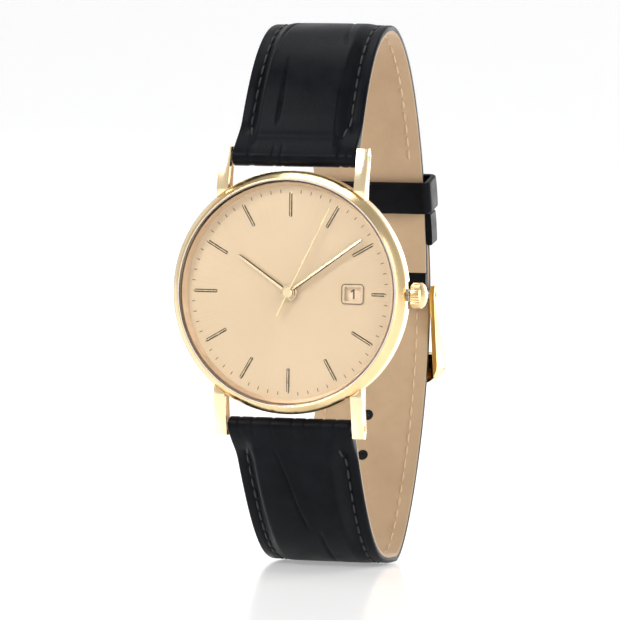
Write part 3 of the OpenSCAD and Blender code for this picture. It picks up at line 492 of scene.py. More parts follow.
def moulded(name, pale, deep, rough=(0.4, 0.6), scale=600.0, strength=0.1):
    made, tree, shader, place = material(name)
    speck = node(tree, "ShaderNodeTexNoise", Vector=place, Scale=scale, Detail=5.0)
    feed(tree, shader, "Base Color", mix_colour(tree, speck.outputs["Fac"], pale, deep))
    feed(tree, shader, "Roughness", between(tree, speck.outputs["Fac"], *rough, 0.3, 0.7))
    bumped(tree, shader, speck.outputs["Fac"], strength, 3e-5)
    return made


def dial_lacquer():
    """Champagne lacquer over a faint sunray."""
    made, tree, shader, place = material("dial_lacquer")
    parts = node(tree, "ShaderNodeSeparateXYZ", Vector=place)
    angle = node(tree, "ShaderNodeMath", set_operation="ARCTAN2", in_0=parts.outputs["X"],
                 in_1=parts.outputs["Z"])
    rays = node(tree, "ShaderNodeTexNoise", set_noise_dimensions="1D", W=angle.outputs[0],
                Scale=60.0, Detail=4.0)
    cloud = node(tree, "ShaderNodeTexNoise", Vector=place, Scale=90.0, Detail=4.0)
    fine = node(tree, "ShaderNodeTexNoise", Vector=place, Scale=9000.0, Detail=2.0)
    mask = node(tree, "ShaderNodeMath", set_operation="MULTIPLY_ADD", in_0=rays.outputs["Fac"],
                in_1=0.5, in_2=cloud.outputs["Fac"])
    blend = between(tree, mask.outputs[0], 0, 1, 0.5, 1.0)
    feed(tree, shader, "Base Color",
         mix_colour(tree, blend, (0.64, 0.49, 0.325), (0.585, 0.44, 0.285)))
    feed(tree, shader, "Roughness", between(tree, rays.outputs["Fac"], 0.34, 0.46, 0.3, 0.7))
    feed(tree, shader, "Metallic", 0.25)
    bumped(tree, shader, fine.outputs["Fac"], 0.08, 2e-5)
    return made


def watch_crystal():
    """Clear crystal. Its alpha drops for shadow rays only, so that the dial is lit through it."""
    made, tree, shader, place = material("watch_crystal")
    smear = node(tree, "ShaderNodeTexNoise", Vector=place, Scale=120.0, Detail=3.0)
    feed(tree, shader, "Roughness", between(tree, smear.outputs["Fac"], 0.0, 0.02, 0.4, 0.7))
    feed(tree, shader, "Base Color",
         mix_colour(tree, smear.outputs["Fac"], (1, 1, 1), (0.985, 0.99, 0.99)))
    shadow = node(tree, "ShaderNodeLightPath").outputs["Is Shadow Ray"]
    feed(tree, shader, "Alpha", between(tree, shadow, 1.0, 0.05))
    feed(tree, shader, "Transmission Weight", 1.0)
    feed(tree, shader, "IOR", 1.1)
    return made


def embossed_leather():
    made, tree, shader, place = material("black_leather")
    grain = use_group(tree, GRAIN, Vector=place)
    mask = between(tree, grain.outputs["Patch"], 0, 1, 0.35, 0.65)
    feed(tree, shader, "Base Color",
         mix_colour(tree, mask, (0.0026, 0.003, 0.0046), (0.005, 0.0057, 0.008)))
    feed(tree, shader, "Roughness", between(tree, grain.outputs["Patch"], 0.3, 0.44, 0.3, 0.7))
    bumped(tree, shader, grain.outputs["Height"], 0.22, 6e-5)
    feed(tree, shader, "Specular IOR Level", 0.08)
    return made


def nubuck_lining():
    made, tree, shader, place = material("nubuck_lining")
    cloud = node(tree, "ShaderNodeTexNoise", Vector=place, Scale=150.0, Detail=6.0, Roughness=0.6)
    nap = node(tree, "ShaderNodeTexNoise", Vector=place, Scale=5200.0, Detail=3.0)
    spots = node(tree, "ShaderNodeTexVoronoi", Vector=place, Scale=420.0)
    blend = between(tree, cloud.outputs["Fac"], 0, 1, 0.3, 0.7)
    tint = mix_colour(tree, blend, (0.53, 0.375, 0.235), (0.45, 0.315, 0.19))
    fleck = between(tree, spots.outputs["Distance"], 0.55, 0.0, 0.0, 0.12)
    tint = mix_colour(tree, fleck, tint, (0.42, 0.28, 0.17))
    feed(tree, shader, "Base Color", tint)
    feed(tree, shader, "Roughness", between(tree, nap.outputs["Fac"], 0.78, 0.95))
    bumped(tree, shader, nap.outputs["Fac"], 0.35, 5e-5)
    feed(tree, shader, "Sheen Weight", 0.25)
    return made


def waxed_thread(name, pale, deep):
    made, tree, shader, place = material(name)
    twist = node(tree, "ShaderNodeTexWave", Vector=place, Scale=1600.0, Distortion=2.0, Detail=2.0)
    feed(tree, shader, "Base Color", mix_colour(tree, twist.outputs["Fac"], pale, deep))
    feed(tree, shader, "Roughness", between(tree, twist.outputs["Fac"], 0.45, 0.7))
    bumped(tree, shader, twist.outputs["Fac"], 0.4, 4e-5)
    return made


GOLD = polished_metal("polished_gold", (0.97, 0.79, 0.52), (0.93, 0.73, 0.45),
                      rough=(0.14, 0.22), hair=0.02)
BEZEL_GOLD = polished_metal("bezel_gold", (0.87, 0.67, 0.37), (0.81, 0.60, 0.31),
                            rough=(0.15, 0.24), hair=0.02)
BUCKLE_GOLD = polished_metal("buckle_gold", (0.88, 0.62, 0.24), (0.80, 0.53, 0.17),
                             rough=(0.1, 0.2))
SECONDS_GOLD = polished_metal("seconds_gold", (0.95, 0.80, 0.52), (0.90, 0.73, 0.44),
                              rough=(0.2, 0.3), smear_scale=900.0)
# the third colour is a painted dark reflection on the sideways facets of the hands and indices
HAND_GOLD = lined_gold("hand_gold", (0.80, 0.66, 0.44), (0.72, 0.57, 0.36), (0.07, 0.05, 0.035))
REHAUT_GOLD = brushed_metal("rehaut_gold", (0.88, 0.75, 0.63), (0.80, 0.67, 0.55),
                            scale=(1.0, 30.0, 1.0))
BACK_GOLD = brushed_metal("case_back_gold", (0.70, 0.52, 0.26), (0.60, 0.43, 0.20),
                          rough=(0.3, 0.42), scale=(1.0, 1.0, 30.0))
STEEL = brushed_metal("turned_steel", (0.66, 0.67, 0.69), (0.52, 0.53, 0.56))
BRASS = brushed_metal("wheel_brass", (0.83, 0.66, 0.34), (0.70, 0.52, 0.24), strength=0.08)
PLATE = moulded("matt_plate", (0.60, 0.55, 0.43), (0.50, 0.45, 0.34),
                rough=(0.35, 0.5), scale=2500.0)
COPPER = brushed_metal("enamelled_copper", (0.72, 0.33, 0.16), (0.50, 0.20, 0.09),
                       scale=(60.0, 1.0, 1.0))
BOARD = moulded("circuit_laminate", (0.04, 0.20, 0.10), (0.03, 0.15, 0.07), rough=(0.3, 0.45))
RUBBER = moulded("black_rubber", (0.02, 0.02, 0.02), (0.035, 0.035, 0.035), rough=(0.6, 0.75))
GASKET = moulded("crystal_ring", (0.84, 0.74, 0.71), (0.77, 0.67, 0.64), rough=(0.35, 0.45))
WHITE = moulded("movement_plastic", (0.80, 0.80, 0.77), (0.74, 0.74, 0.71))
DATE_DISC = moulded("date_disc", (0.80, 0.62, 0.44), (0.76, 0.58, 0.40), scale=1500.0)
PRINT = moulded("dial_print", (0.10, 0.075, 0.05), (0.14, 0.10, 0.07), scale=4000.0)
DIAL = dial_lacquer()
CRYSTAL = watch_crystal()
LEATHER = embossed_leather()
LINING = nubuck_lining()
THREAD = waxed_thread("black_thread", (0.008, 0.008, 0.009), (0.02, 0.02, 0.023))
LINING_THREAD = waxed_thread("lining_thread", (0.74, 0.56, 0.38), (0.58, 0.41, 0.26))

NODE_MATERIALS = {
    STEEL: ["crown_tube", "stem", "sliding_pinion", "setting_lever", "cannon_pinion", "rotor",
            "stator", "quartz_can", "battery", "battery_clamp", "bridge_screws", "lug_bar_tubes",
            "lug_bar_pins", "heel_bar_tube", "heel_bar_pins"],
    BRASS: ["date_wheel", "hour_wheel", "minute_wheel", "setting_wheel", "seconds_wheel",
            "centre_wheel", "third_wheel", "intermediate_wheel"],
    PLATE: ["main_plate", "train_bridge"], COPPER: ["coil"], BOARD: ["circuit_board"],
    WHITE: ["movement_ring"],
    RUBBER: ["back_gasket", "crown_gasket"], GASKET: ["crystal_gasket"], REHAUT_GOLD: ["rehaut"],
    DIAL: ["dial"], PRINT: ["minute_track"], DATE_DISC: ["date_ring"], CRYSTAL: ["crystal"],
    BACK_GOLD: ["case_back"],
}
for finish, names in NODE_MATERIALS.items():
    for cad_name in names:
        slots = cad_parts[cad_name].data.materials
        if not slots:
            slots.append(finish)
        for slot_index in range(len(slots)):
            slots[slot_index] = finish


# ---------------------------------------------------------------- strap halves
def strap_stations(first, last, step=0.3):
    return np.linspace(first, last, int((last - first) / step) + 1)


def to_frame(path, x, s, out):
    y, z = path.at(s, out)
    return np.stack([x * MM, y * MM, z * MM], axis=-1)


def strap_skin(path, half, first, last, slot=0.0, side=1, low=LINING_T):
    """The outer leather of a strap half, closed underneath.

    A slot leaves one finger of it beside the tang.
    """
    rings = []
    for s in strap_stations(first, last):
        w = float(half_width(path, s))
        x = np.linspace(w, slot, 51) * side if slot else np.linspace(w, -w, 121)
        top = leather_top(path, half, x, s, w)
        under = np.linspace(x[-1], x[0], 7)
        ring_x = np.concatenate([x, [x[-1]], under, [x[0]]])
        ring_out = np.concatenate([top, [(top[-1] + low) / 2], np.full(7, low),
                                   [(top[0] + low) / 2]])
        rings.append(to_frame(path, ring_x, np.full(len(ring_x), s), ring_out))
    return ring_tube(rings)


def lining_skin(path, first, last):
    rings = []
    for s in strap_stations(first, last, 0.5):
        w = float(half_width(path, s)) - LINING_INSET
        flat = w - LINING_ROUND
        x = np.array([w, w, flat, 0, -flat, -w, -w, -flat, -w / 2, 0, w / 2, flat])
        out = np.array([0.08] + [LINING_T] * 5 + [0.08] + [0] * 5)
        rings.append(to_frame(path, x, np.full(len(x), s), out))
    return ring_tube(rings)


def turned_flap(side):
    """The leather that comes back from the heel bar on the inside, up to the end of the lining."""
    rings = []
    for s in strap_stations(slot_start, upper.length - 0.3, 0.5):
        w = float(half_width(upper, s)) - 0.02
        x = side * np.array([w, w, SLOT_HALF, SLOT_HALF])
        out = np.array([0.0, LINING_T, LINING_T, 0.0])
        rings.append(to_frame(upper, x, np.full(4, s), out))
    return ring_tube(rings)


def bar_roll(centre, outer, bore, x_from, x_to, pleats=()):
    """Leather rolled round a bar along X, as a tube with softened ends."""
    around = np.linspace(0, 2 * math.pi, 49)[:-1]
    along = np.linspace(x_from, x_to, max(6, int((x_to - x_from) / 0.2)))
    rings = []
    for x, r, inside in [(x, outer, False) for x in along] + [(x, bore, True) for x in along[::-1]]:
        radius = r
        if not inside:
            end = min(x - x_from, x_to - x)
            radius -= ROLL_ROUND * (1 - quarter_round(end / ROLL_ROUND))
            radius -= sum(PLEAT_DEPTH * bell(x - pleat, PLEAT_WIDTH) for pleat in pleats)
        rings.append([(x * MM, (centre[0] + radius * math.cos(a)) * MM,
                       (centre[1] + radius * math.sin(a)) * MM) for a in around])
    return ring_tube(rings, closed=True)


def joined(*parts):
    verts, faces = [], []
    for v, f in parts:
        faces += [tuple(i + len(verts) for i in face) for face in f]
        verts += list(v)
    return verts, faces


def cut_from(obj, tool):
    boolean = obj.modifiers.new("cut", "BOOLEAN")
    boolean.operation = "DIFFERENCE"
    boolean.solver = "EXACT"
    boolean.object = tool
    applied(obj)


def hole_post(s, length, radius, low=-1.0, high=3.5):
    """A round-ended post square to the lower strap at s, for punching or lining a hole."""
    rings = []
    for out in (low, high):
        ring = []
        for k in range(32):
            a = 2 * math.pi * k / 32
            ds = radius * math.sin(a) + math.copysign(length / 2, math.sin(a)) * (length > 0)
            ring.append(to_frame(lower, np.array(radius * math.cos(a)), np.array(s), np.array(out))
                        + tangent_shift(s, ds))
        rings.append(ring)
    return rings


def tangent_shift(s, ds):
    a = float(np.interp(s, lower.s, lower.turn))
    return np.array([0.0, ds * math.cos(a) * MM, -ds * math.sin(a) * MM])


# place along the strap, slot length and radius; the tang goes through the slotted one
used, unused = (TANG_SLOT, TANG_W / 2 + TANG_PLAY), (0.0, HOLE_R)
HOLES = [(PASS_S - USED_HOLE - i * HOLE_PITCH, *(unused if i else used)) for i in range(-1, 5)]


def punch_holes(obj, closed=None):
    """Punch the buckle holes. The leather closes up again round those that aren't in use."""
    posts = joined(*[ring_tube(hole_post(s, length, r if length or not closed else closed))
                     for s, length, r in HOLES])
    tool = placed("cutter", outward_mesh("cutter", *posts, weld=False))
    cut_from(obj, tool)
    bpy.data.objects.remove(tool)


def settle(obj, body, slot, *nodes):
    if nodes:
        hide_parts(*nodes)
    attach(obj, body)
    return obj


lug_bore, heel_bore = BAR_R + BORE_PLAY, HEEL_BAR_R + BORE_PLAY
slot_start = upper.length - SLOT_S
fingers = [strap_skin(upper, "12", slot_start, upper.length, SLOT_HALF, side) for side in (-1, 1)]
upper_roll = bar_roll(LUG_BAR, ROLL_R, lug_bore, -STRAP_W / 2, STRAP_W / 2, EMBOSS["12"]["pleats"])
upper_parts = joined(strap_skin(upper, "12", 0.0, slot_start), *fingers, upper_roll)
upper_leather = mesh_object("strap_12_leather", *upper_parts, LEATHER)
settle(upper_leather, "upper_strap", "leather", "strap12_leather", "strap12_filler")
heel_parts = joined(bar_roll(HEEL_BAR, HEEL_ROLL_R, heel_bore, -BUCKLE_W / 2, -SLOT_HALF),
                    bar_roll(HEEL_BAR, HEEL_ROLL_R, heel_bore, SLOT_HALF, BUCKLE_W / 2))
settle(mesh_object("strap_12_heel_roll", *heel_parts, LEATHER, 50), "upper_strap", "leather")
turned_end = joined(*[turned_flap(side) for side in (-1, 1)])
settle(mesh_object("strap_12_turned_end", *turned_end, LEATHER, 50), "upper_strap", "leather")
upper_lining = mesh_object("strap_12_lining", *lining_skin(upper, LINING_FROM, slot_start - 0.15),
                           LINING, 50)
settle(upper_lining, "upper_strap", "lining", "strap12_lining")

lower_leather = mesh_object("strap_6_leather", *strap_skin(lower, "6", 0.0, lower.length), LEATHER)
punch_holes(lower_leather, CLOSED_R)
lower_roll = bar_roll(flip(LUG_BAR), ROLL_R, lug_bore, -STRAP_W / 2, STRAP_W / 2,
                      EMBOSS["6"]["pleats"])
settle(mesh_object("strap_6_lug_roll", *lower_roll, LEATHER, 60), "lower_strap", "leather")
settle(lower_leather, "lower_strap", "leather", "strap6_leather", "strap6_filler")
lower_lining = mesh_object("strap_6_lining", *lining_skin(lower, LINING_FROM, lower.length),
                           LINING, 50)
punch_holes(lower_lining)
settle(lower_lining, "lower_strap", "lining", "strap6_lining")
for strap_piece in (upper_leather, lower_leather, lower_lining):
    strap_piece.data.set_sharp_from_angle(angle=math.radians(60))


def hole_stain(s, length, radius):
    """The dark rim round a punched hole on the lining side."""
    inner = radius - 0.03 if length else CLOSED_R
    outer_low, outer_high = hole_post(s, length, radius + STAIN_W, STAIN_LOW, STAIN_HIGH)
    inner_low, inner_high = hole_post(s, length, inner, STAIN_LOW, STAIN_HIGH)
    return ring_tube([outer_low, outer_high, inner_high, inner_low], closed=True)


stains = mesh_object("hole_edges", *joined(*[hole_stain(*h) for h in HOLES]), LEATHER, 40)
settle(stains, "lower_strap", "leather")


# ---------------------------------------------------------------- stitching
def stitch_tree():
    """Thread stitches at an even pitch along a seam line."""
    tree = bpy.data.node_groups.new("stitch_row", "GeometryNodeTree")
    made = tree.interface.new_socket
    made("Seam", in_out="INPUT", socket_type="NodeSocketGeometry")
    for label in ("Pitch", "Stitch length", "Thread width"):
        made(label, in_out="INPUT", socket_type="NodeSocketFloat")
    made("Thread", in_out="INPUT", socket_type="NodeSocketMaterial")
    made("Stitches", in_out="OUTPUT", socket_type="NodeSocketGeometry")
    given, out = tree.nodes.new("NodeGroupInput"), tree.nodes.new("NodeGroupOutput")
    line = node(tree, "GeometryNodeMeshToCurve", Mesh=given.outputs["Seam"])
    even = node(tree, "GeometryNodeResampleCurve", set_mode="LENGTH", Curve=line.outputs[0],
                Length=given.outputs["Pitch"])
    thread = node(tree, "GeometryNodeMeshUVSphere", Segments=8, Rings=6, Radius=0.5)
    turn = node(tree, "FunctionNodeAlignRotationToVector", set_axis="Z",
                Vector=tree.nodes.new("GeometryNodeInputTangent").outputs[0])
    width = given.outputs["Thread width"]
    size = node(tree, "ShaderNodeCombineXYZ", X=width, Y=width, Z=given.outputs["Stitch length"])
    rows = node(tree, "GeometryNodeInstanceOnPoints", Points=even.outputs[0],
                Instance=thread.outputs[0], Rotation=turn.outputs[0], Scale=size.outputs[0])
    real = node(tree, "GeometryNodeRealizeInstances", Geometry=rows.outputs[0])
    coloured = node(tree, "GeometryNodeSetMaterial", Geometry=real.outputs[0],
                    Material=given.outputs["Thread"])
    tree.links.new(coloured.outputs[0], out.inputs["Stitches"])
    return tree


STITCH_TREE = stitch_tree()


def stitch_rows(name, lines, length, width, thread):
    verts, edges = [], []
    for line in lines:
        edges += [(len(verts) + i, len(verts) + i + 1) for i in range(len(line) - 1)]
        verts += [tuple(p) for p in line]
    mesh = bpy.data.meshes.new(name)
    mesh.from_pydata(verts, edges, [])
    obj = placed(name, mesh)
    rows = obj.modifiers.new("stitches", "NODES")
    rows.node_group = STITCH_TREE
    ids = {i.name: i.identifier for i in STITCH_TREE.interface.items_tree if i.in_out == "INPUT"}
    given = {"Pitch": STITCH_PITCH * MM, "Stitch length": length * MM, "Thread width": width * MM,
             "Thread": thread}
    for label, value in given.items():
        rows[ids[label]] = value
    applied(obj)
    obj.data.polygons.foreach_set("use_smooth", [True] * len(obj.data.polygons))
    return obj


def seam_lines(path, half, first, last, lining_side, close_tail=False):
    """Both seams of a strap half. They bend inwards where they start and meet at a tail's tip."""
    s = strap_stations(first, last, 0.4)
    lines = []
    for side in (-1, 1):
        w = half_width(path, s)
        inset = SEAM_IN + 0.4 * bell(s - first, 0.8)
        x = side * (w - inset)
        if lining_side:
            out = np.full(len(s), THREAD_IN)
        else:
            out = THREAD_OUT + np.array([float(leather_top(path, half, np.array(a), b, float(c)))
                                         for a, b, c in zip(x, s, w)])
        lines.append(to_frame(path, x, s, out))
    if close_tail:
        x = np.linspace(lines[0][-1][0], lines[1][-1][0], 9)[1:-1] / MM
        w = float(half_width(path, last))
        out = THREAD_IN
        if not lining_side:
            out = float(leather_top(path, half, np.array(0.0), last, w)) + THREAD_OUT
        lines.append(to_frame(path, x, np.full(len(x), last), np.full(len(x), out)))
    return lines


for tag, path, last, body, tail in (("12", upper, upper.length - 15.5, "upper_strap", False),
                                    ("6", lower, lower.length - 2.2, "lower_strap", True)):
    top_lines = seam_lines(path, tag, STITCH_FROM, last, False, tail)
    top = stitch_rows(f"strap_{tag}_stitches", top_lines, 1.7, 0.42, THREAD)
    settle(top, body, "thread", f"strap{tag}_stitches")
    back_last = BACK_SEAM_END if path is upper else last
    back_lines = seam_lines(path, tag, STITCH_FROM, back_last, True, tail)
    back = stitch_rows(f"strap_{tag}_back_stitches", back_lines, 1.6, 0.36, LINING_THREAD)
    settle(back, body, "thread")


# ---------------------------------------------------------------- keepers
def keeper_loop(s_mid, low, high, w, open_back):
    """A leather band round the straps: a rounded strip swept round a rounded rectangle."""
    r = KEEPER_BEND
    mid_w, mid_low, mid_high = w + KEEPER_T / 2, low - KEEPER_T / 2, high + KEEPER_T / 2
    corners = [(mid_w, mid_low, -90), (mid_w, mid_high, 0), (-mid_w, mid_high, 90),
               (-mid_w, mid_low, 180)]
    line = []
    for cx, co, start_angle in corners:
        ox, oo = cx - math.copysign(r, cx), (co + r if co == mid_low else co - r)
        turns = [unit(start_angle + a) for a in range(0, 91, 15)]
        line += [(ox + r * c, oo + r * k) for c, k in turns]
    if open_back:
        # the strip's ends tuck in between the layers at the strap's edges
        line = [(mid_w, 0.3), (mid_w, 0.8), *line[7:21], (-mid_w, 0.8), (-mid_w, 0.3)]
    n = len(line)
    half_l, half_t = KEEPER_LEN / 2, KEEPER_T / 2
    profile = []
    for sx, st, from_angle in ((1, -1, -90), (1, 1, 0), (-1, 1, 90), (-1, -1, 180)):
        for a in range(0, 91, 30):
            c, k = unit(from_angle + a)
            profile.append((sx * (half_l - KEEPER_ROUND) + KEEPER_ROUND * c,
                            st * (half_t - KEEPER_ROUND) + KEEPER_ROUND * k))
        if (sx, st) == (1, 1):
            profile += [(half_l * q, half_t + 0.04 * (1 - q * q)) for q in (0.5, 0.0, -0.5)]
    rings = []
    for i, (x, out) in enumerate(line):
        if open_back:
            a, b = line[max(i - 1, 0)], line[min(i + 1, n - 1)]
        else:
            a, b = line[i - 1], line[(i + 1) % n]
        dx, do = b[0] - a[0], b[1] - a[1]
        size = math.hypot(dx, do)
        nx, no = do / size, -dx / size
        base = to_frame(upper, np.array(x * 1.0), np.array(s_mid), np.array(out * 1.0))
        turn = float(np.interp(s_mid, upper.s, upper.turn))
        along = np.array([0, math.cos(turn), math.sin(turn)]) * MM
        outward = np.array([0, math.cos(turn + math.pi / 2), math.sin(turn + math.pi / 2)]) * MM
        square = np.array([nx * MM, 0, 0]) + no * outward
        rings.append([base + u * along + v * square for u, v in profile])
    return ring_tube(rings, closed=not open_back)


lap_t = 2 * STRAP_T + LAP_GAP
keeper_high = lap_t + KEEPER_PLAY + 0.1
free_w = float(half_width(upper, FREE_S)) + KEEPER_PLAY
free_loop = keeper_loop(FREE_S, -KEEPER_PLAY, keeper_high, free_w, False)
free_keeper = mesh_object("free_keeper_band", *free_loop, LEATHER, 60)
settle(free_keeper, "keeper", "leather", "free_keeper")
fixed_w = float(half_width(upper, FIXED_S)) + 0.02
fixed_loop = keeper_loop(FIXED_S, 0.0, keeper_high, fixed_w, True)
fixed_keeper = mesh_object("fixed_keeper_band", *fixed_loop, LEATHER, 60)
settle(fixed_keeper, "upper_strap", "leather", "fixed_keeper")

# ---------------------------------------------------------------- metal with softened edges
softened("case_and_lugs", "case_middle", "case", GOLD, 0.07)
softened("polished_bezel", "bezel", "case", BEZEL_GOLD, 0.05)
softened("fluted_crown", "crown", "crown", BEZEL_GOLD, 0.03)
softened("pin_buckle_frame", "buckle_frame", "buckle", BUCKLE_GOLD, 0.28, segments=4)
softened("buckle_tongue", "tang", "tang", BUCKLE_GOLD, 0.22, segments=4)


# ---------------------------------------------------------------- hands
def on_dial(x, z, h, turn=0.0):
    """A point at x and z on the dial, turned clockwise by turn degrees, h over the case back."""
    c, s = math.cos(math.radians(turn)), math.sin(math.radians(turn))
    return ((x * c + z * s) * MM, -h * MM, (-x * s + z * c) * MM)


def roofed_bar(z0, z1, w0, w1, h, thick, ridge, turn, flat=(0.3, 0.3)):
    """A baton from z0 to z1, with a raised flat between flat's two places across its half width."""
    rings = []
    for z, w in ((z0, w0 * 0.5), (z0 + 0.15, w0), (z1 - 0.25, w1), (z1, w1 * 0.4)):
        half = w / 2
        rings.append([on_dial(x, z, h + y, turn) for x, y in
                      ((-half, 0), (half, 0), (half, thick), (half * flat[1], thick + ridge),
                       (half * flat[0], thick + ridge), (-half, thick))])
    return ring_tube(rings)


def mark_lines(obj, turns, dark):
    """Note in an attribute which facets get the painted dark reflection, from the place across the
    baton.
    """
    marks = obj.data.attributes.new("painted_reflection", "FLOAT", "FACE")
    for face in obj.data.polygons:
        x, z = face.center.x / MM, face.center.z / MM
        turn = min(turns, key=lambda t: abs((math.degrees(math.atan2(x, z)) - t + 180) % 360 - 180))
        across = x * math.cos(math.radians(turn)) - z * math.sin(math.radians(turn))
        along = x * math.sin(math.radians(turn)) + z * math.cos(math.radians(turn))
        marks.data[face.index].value = float(along > 1.3 and -face.normal.y > 0.2 and dark(across))


def round_boss(r, h0, h1, hole=0.0, chamfer=0.04):
    """A turned disc or ring on the dial's axis."""
    profile = [(hole, h0), (r, h0), (r, h1 - chamfer), (r - chamfer, h1), (hole, h1)]
    rings = []
    for k in range(48):
        rings.append([on_dial(0, radius, h, 360 * k / 48) for radius, h in profile])
    return ring_tube(rings, closed=True)


hour, minute, second = SHOWN
minute_turn = 6 * (minute + second / 60)
hour_turn = 30 * (hour + (minute + second / 60) / 60)
second_turn = 6 * second
for label, turn, bore in (("hour", hour_turn, 0.8), ("minute", minute_turn, 0.5)):
    tip, w, h, hub = HANDS[label]
    parts = joined(roofed_bar(bore + 0.05, tip, w, w * 0.8, h, 0.06, 0.06, turn),
                   round_boss(hub, h, h + 0.1, hole=bore))
    hand = mesh_object(f"{label}_baton", *parts, HAND_GOLD, 20)
    # painted dark reflection on one side of the hand's roof
    mark_lines(hand, [turn], lambda across: across > 0.04)
    settle(hand, {"hour": "hours", "minute": "minutes"}[label], "gold", f"{label}_hand")
parts = joined(roofed_bar(0.0, 13.4, 0.26, 0.16, SECONDS_H, 0.04, 0.03, second_turn),
               roofed_bar(-3.6, 0.0, 0.3, 0.22, SECONDS_H, 0.04, 0.03, second_turn),
               round_boss(0.7, 4.93, 5.05, chamfer=0.08), round_boss(0.28, 4.81, 4.93, hole=0.13))
settle(mesh_object("seconds_baton", *parts, SECONDS_GOLD, 20), "seconds", "gold", "seconds_hand")
INDEX_R, INDEX_LEN, INDEX_W = 14.1, 3.53, 0.46
# the index beside the date window is shorter
batons = [roofed_bar(INDEX_R - INDEX_LEN * (0.6 if i == 3 else 1), INDEX_R, INDEX_W, INDEX_W,
                     DIAL_TOP, 0.04, 0.1, 30 * i, flat=(-0.25, 0.3)) for i in range(12)]
indices = mesh_object("applied_indices", *joined(*batons), HAND_GOLD, 20)
# painted dark reflection on each index's sloping sides; the middle flat stays gold
mark_lines(indices, [30 * i for i in range(12)], lambda across: abs(across - 0.01) > 0.1)
settle(indices, "case", "gold", "hour_indices")


# ---------------------------------------------------------------- dial details
def rounded_frame(x, wide, tall, rim, r, h0, h1):
    """A rounded rectangular ring on the dial round the date window."""
    rings = []
    for shrink, h in ((0, h0), (0, h1), (rim, h1), (rim, h0)):
        ring = []
        for cx, cz, a0 in ((1, 1, 0), (-1, 1, 90), (-1, -1, 180), (1, -1, 270)):
            rr = max(r - shrink, 0.05)
            in_x, in_z = wide / 2 - shrink - rr, tall / 2 - shrink - rr
            for a in range(0, 91, 15):
                c, k = unit(a0 + a)
                ring.append(on_dial(x + cx * in_x + rr * c, cz * in_z + rr * k, h))
        rings.append(ring)
    return ring_tube(rings, closed=True)


FRAME_TOP = DIAL_TOP + 0.13
frame_ring = rounded_frame(DATE_R, 3.3, 2.9, 0.5, 0.52, DIAL_TOP, FRAME_TOP)
settle(mesh_object("date_window_frame", *frame_ring, DIAL, 30), "case", "dial", "date_frame")
outline = rounded_frame(DATE_R, 3.26, 2.86, 0.14, 0.5, FRAME_TOP - 0.01, FRAME_TOP + 0.015)
settle(mesh_object("date_outline", *outline, PRINT, 30), "case", "print")


def figure_strokes(char):
    """Vertices and faces of one printed figure of unit size, with a flag on the 1."""
    curve = bpy.data.curves.new(f"figure_{char}", "FONT")
    curve.body, curve.size, curve.extrude, curve.offset = char, 1.0, 0.005, 0.012
    text = placed(f"figure_{char}", curve)
    bpy.context.view_layer.update()
    depsgraph = bpy.context.evaluated_depsgraph_get()
    flat = bpy.data.meshes.new_from_object(text.evaluated_get(depsgraph))
    bpy.data.objects.remove(text)
    verts = np.array([v.co for v in flat.vertices])
    verts[:, :2] -= (verts[:, :2].min(axis=0) + verts[:, :2].max(axis=0)) / 2
    shape = ([tuple(v) for v in verts], [tuple(p.vertices) for p in flat.polygons])
    if char == "1":
        slant = [(0.0, 0.35), (0.0, 0.22), (-0.22, 0.1), (-0.22, 0.23)]
        flag = [(x, y, z) for z in (0.005, -0.005) for x, y in slant]
        sides = [(i, (i + 1) % 4, 4 + (i + 1) % 4, 4 + i) for i in range(4)]
        shape = joined(shape, (flag, [(3, 2, 1, 0), (4, 5, 6, 7)] + sides))
    return shape


FIGURES = {char: figure_strokes(char) for char in "0123456789"}
numerals = []
for day in range(1, 32):
    size, stretch = (1.9, 1.05) if day < 10 else (1.7, 0.85)
    for place, char in enumerate(str(day)):
        shift = (place - (len(str(day)) - 1) / 2) * 0.62
        verts = [on_dial(DATE_R + (x + shift) * size * stretch, y * size,
                         DATE_TOP + 0.012 + z * size, (day - 1) * 360 / 31)
                 for x, y, z in FIGURES[char][0]]
        numerals.append((verts, FIGURES[char][1]))
settle(mesh_object("date_numerals", *joined(*numerals), PRINT, 30), "date", "print")


# ---------------------------------------------------------------- studio
def stage_sheet():
    """A pale floor that curves up into a backdrop."""
    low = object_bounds()[0][2]
    start_y, bend = 1.2, 0.8
    curve = [(start_y + bend * math.sin(a), low + bend - bend * math.cos(a))
             for a in np.linspace(0, math.pi / 2, 17)[1:]]
    line = [(-2.5, low), (start_y, low), *curve, (start_y + bend, low + 3.5)]
    verts = [(x, y, z - 0.0001) for x in (-4, 4) for y, z in line]
    n = len(line)
    faces = [(i, i + 1, n + i + 1, n + i) for i in range(n - 1)]
    mesh = bpy.data.meshes.new("floor")
    mesh.from_pydata(verts, [], faces)
    mesh.polygons.foreach_set("use_smooth", [True] * len(faces))
    made, tree, shader, place = material("pale_floor")
    soft = node(tree, "ShaderNodeTexNoise", Vector=place, Scale=3.0)
    tint = mix_colour(tree, soft.outputs["Fac"], (0.93, 0.93, 0.93), (0.91, 0.91, 0.91))
    feed(tree, shader, "Base Color", tint)
    feed(tree, shader, "Roughness", between(tree, soft.outputs["Fac"], 0.12, 0.18))
    feed(tree, shader, "Emission Color", (1, 1, 1, 1))
    feed(tree, shader, "Emission Strength", 0.3)
    mesh.materials.append(made)
    placed("floor", mesh)


def soft_light(name, place, target, size, power, colour=(1, 1, 1)):
    light = bpy.data.lights.new(name, "AREA")
    light.shape = "RECTANGLE"
    light.size, light.size_y = size
    light.energy = power
    light.color = colour
    obj = placed(name, light)
    obj.location = place
    obj.rotation_euler = (Vector(target) - Vector(place)).to_track_quat("-Z", "Y").to_euler()


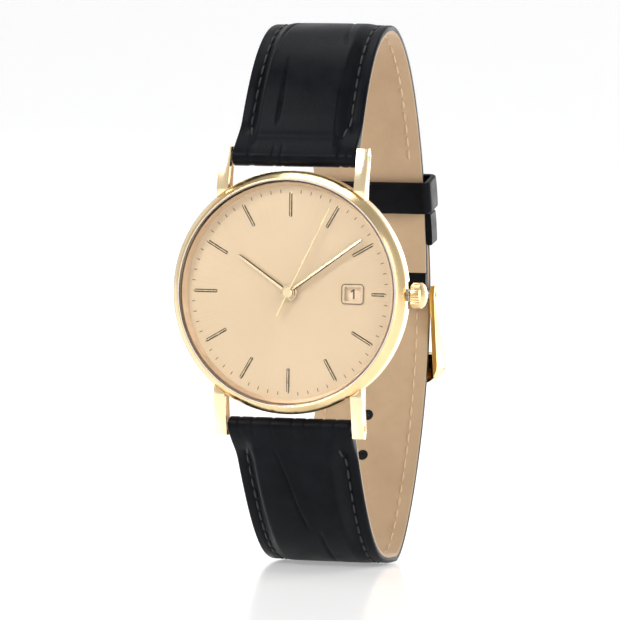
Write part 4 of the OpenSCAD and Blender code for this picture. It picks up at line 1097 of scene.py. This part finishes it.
def studio_world():
    world = bpy.data.worlds.new("studio")
    bpy.context.scene.world = world
    world.use_nodes = True
    tree = world.node_tree
    back = tree.nodes["Background"]
    around = node(tree, "ShaderNodeTexCoord").outputs["Generated"]
    parts = node(tree, "ShaderNodeSeparateXYZ", Vector=around)
    ramp = node(tree, "ShaderNodeValToRGB", Fac=between(tree, parts.outputs["Z"], 0, 1, -1, 1))
    stops = ramp.color_ramp.elements
    stops[0].color, stops[1].color = (0.75, 0.75, 0.75, 1), (0.55, 0.55, 0.56, 1)
    stops.new(0.5).color = (1.0, 1.0, 1.0, 1)
    stops.new(0.72).color = (0.8, 0.8, 0.8, 1)
    tree.links.new(ramp.outputs["Color"], back.inputs["Color"])
    back.inputs["Strength"].default_value = 0.72


def camera():
    """A long lens a little to the crown's side, with the dial a touch above the middle."""
    azimuth, elevation, roll = (math.radians(v) for v in (17.83, 1.68, 0.93))
    reach, per_mm, size = 800.0, 7.174, 620.0
    level = math.cos(elevation)
    back = Vector((math.sin(azimuth) * level, -math.cos(azimuth) * level, math.sin(elevation)))
    right = Vector((math.cos(azimuth), math.sin(azimuth), 0))
    up = back.cross(right)
    turned_right = right * math.cos(roll) + up * math.sin(roll)
    turned_up = up * math.cos(roll) - right * math.sin(roll)
    data = bpy.data.cameras.new("camera")
    data.sensor_width = 36.0
    data.lens = 36.0 * per_mm * reach / size
    data.shift_x, data.shift_y = 21.62 / size, -17.3 / size
    data.clip_start, data.clip_end = 0.05, 20.0
    obj = placed("camera", data)
    target = Vector((0, -4.5 * MM, 0))
    obj.matrix_world = Matrix.Translation(target + back * reach * MM) @ Matrix(
        [[turned_right[i], turned_up[i], back[i]] for i in range(3)]).to_4x4()
    bpy.context.scene.camera = obj


stage_sheet()
studio_world()
camera()
soft_light("key_softbox", (-0.5, -0.7, 0.6), (0, 0, 0), (0.4, 0.4), 4.5)
soft_light("fill_softbox", (0.8, -0.4, 0.25), (0, 0, 0), (0.5, 0.7), 2.6)
soft_light("top_softbox", (0.0, 0.1, 0.9), (0, 0, 0), (0.7, 0.5), 3.4)
soft_light("rim_softbox", (0.3, 0.85, 0.17), (0, 0, 0), (0.35, 0.4), 1.5)
bpy.context.scene.view_settings.view_transform = "Standard"
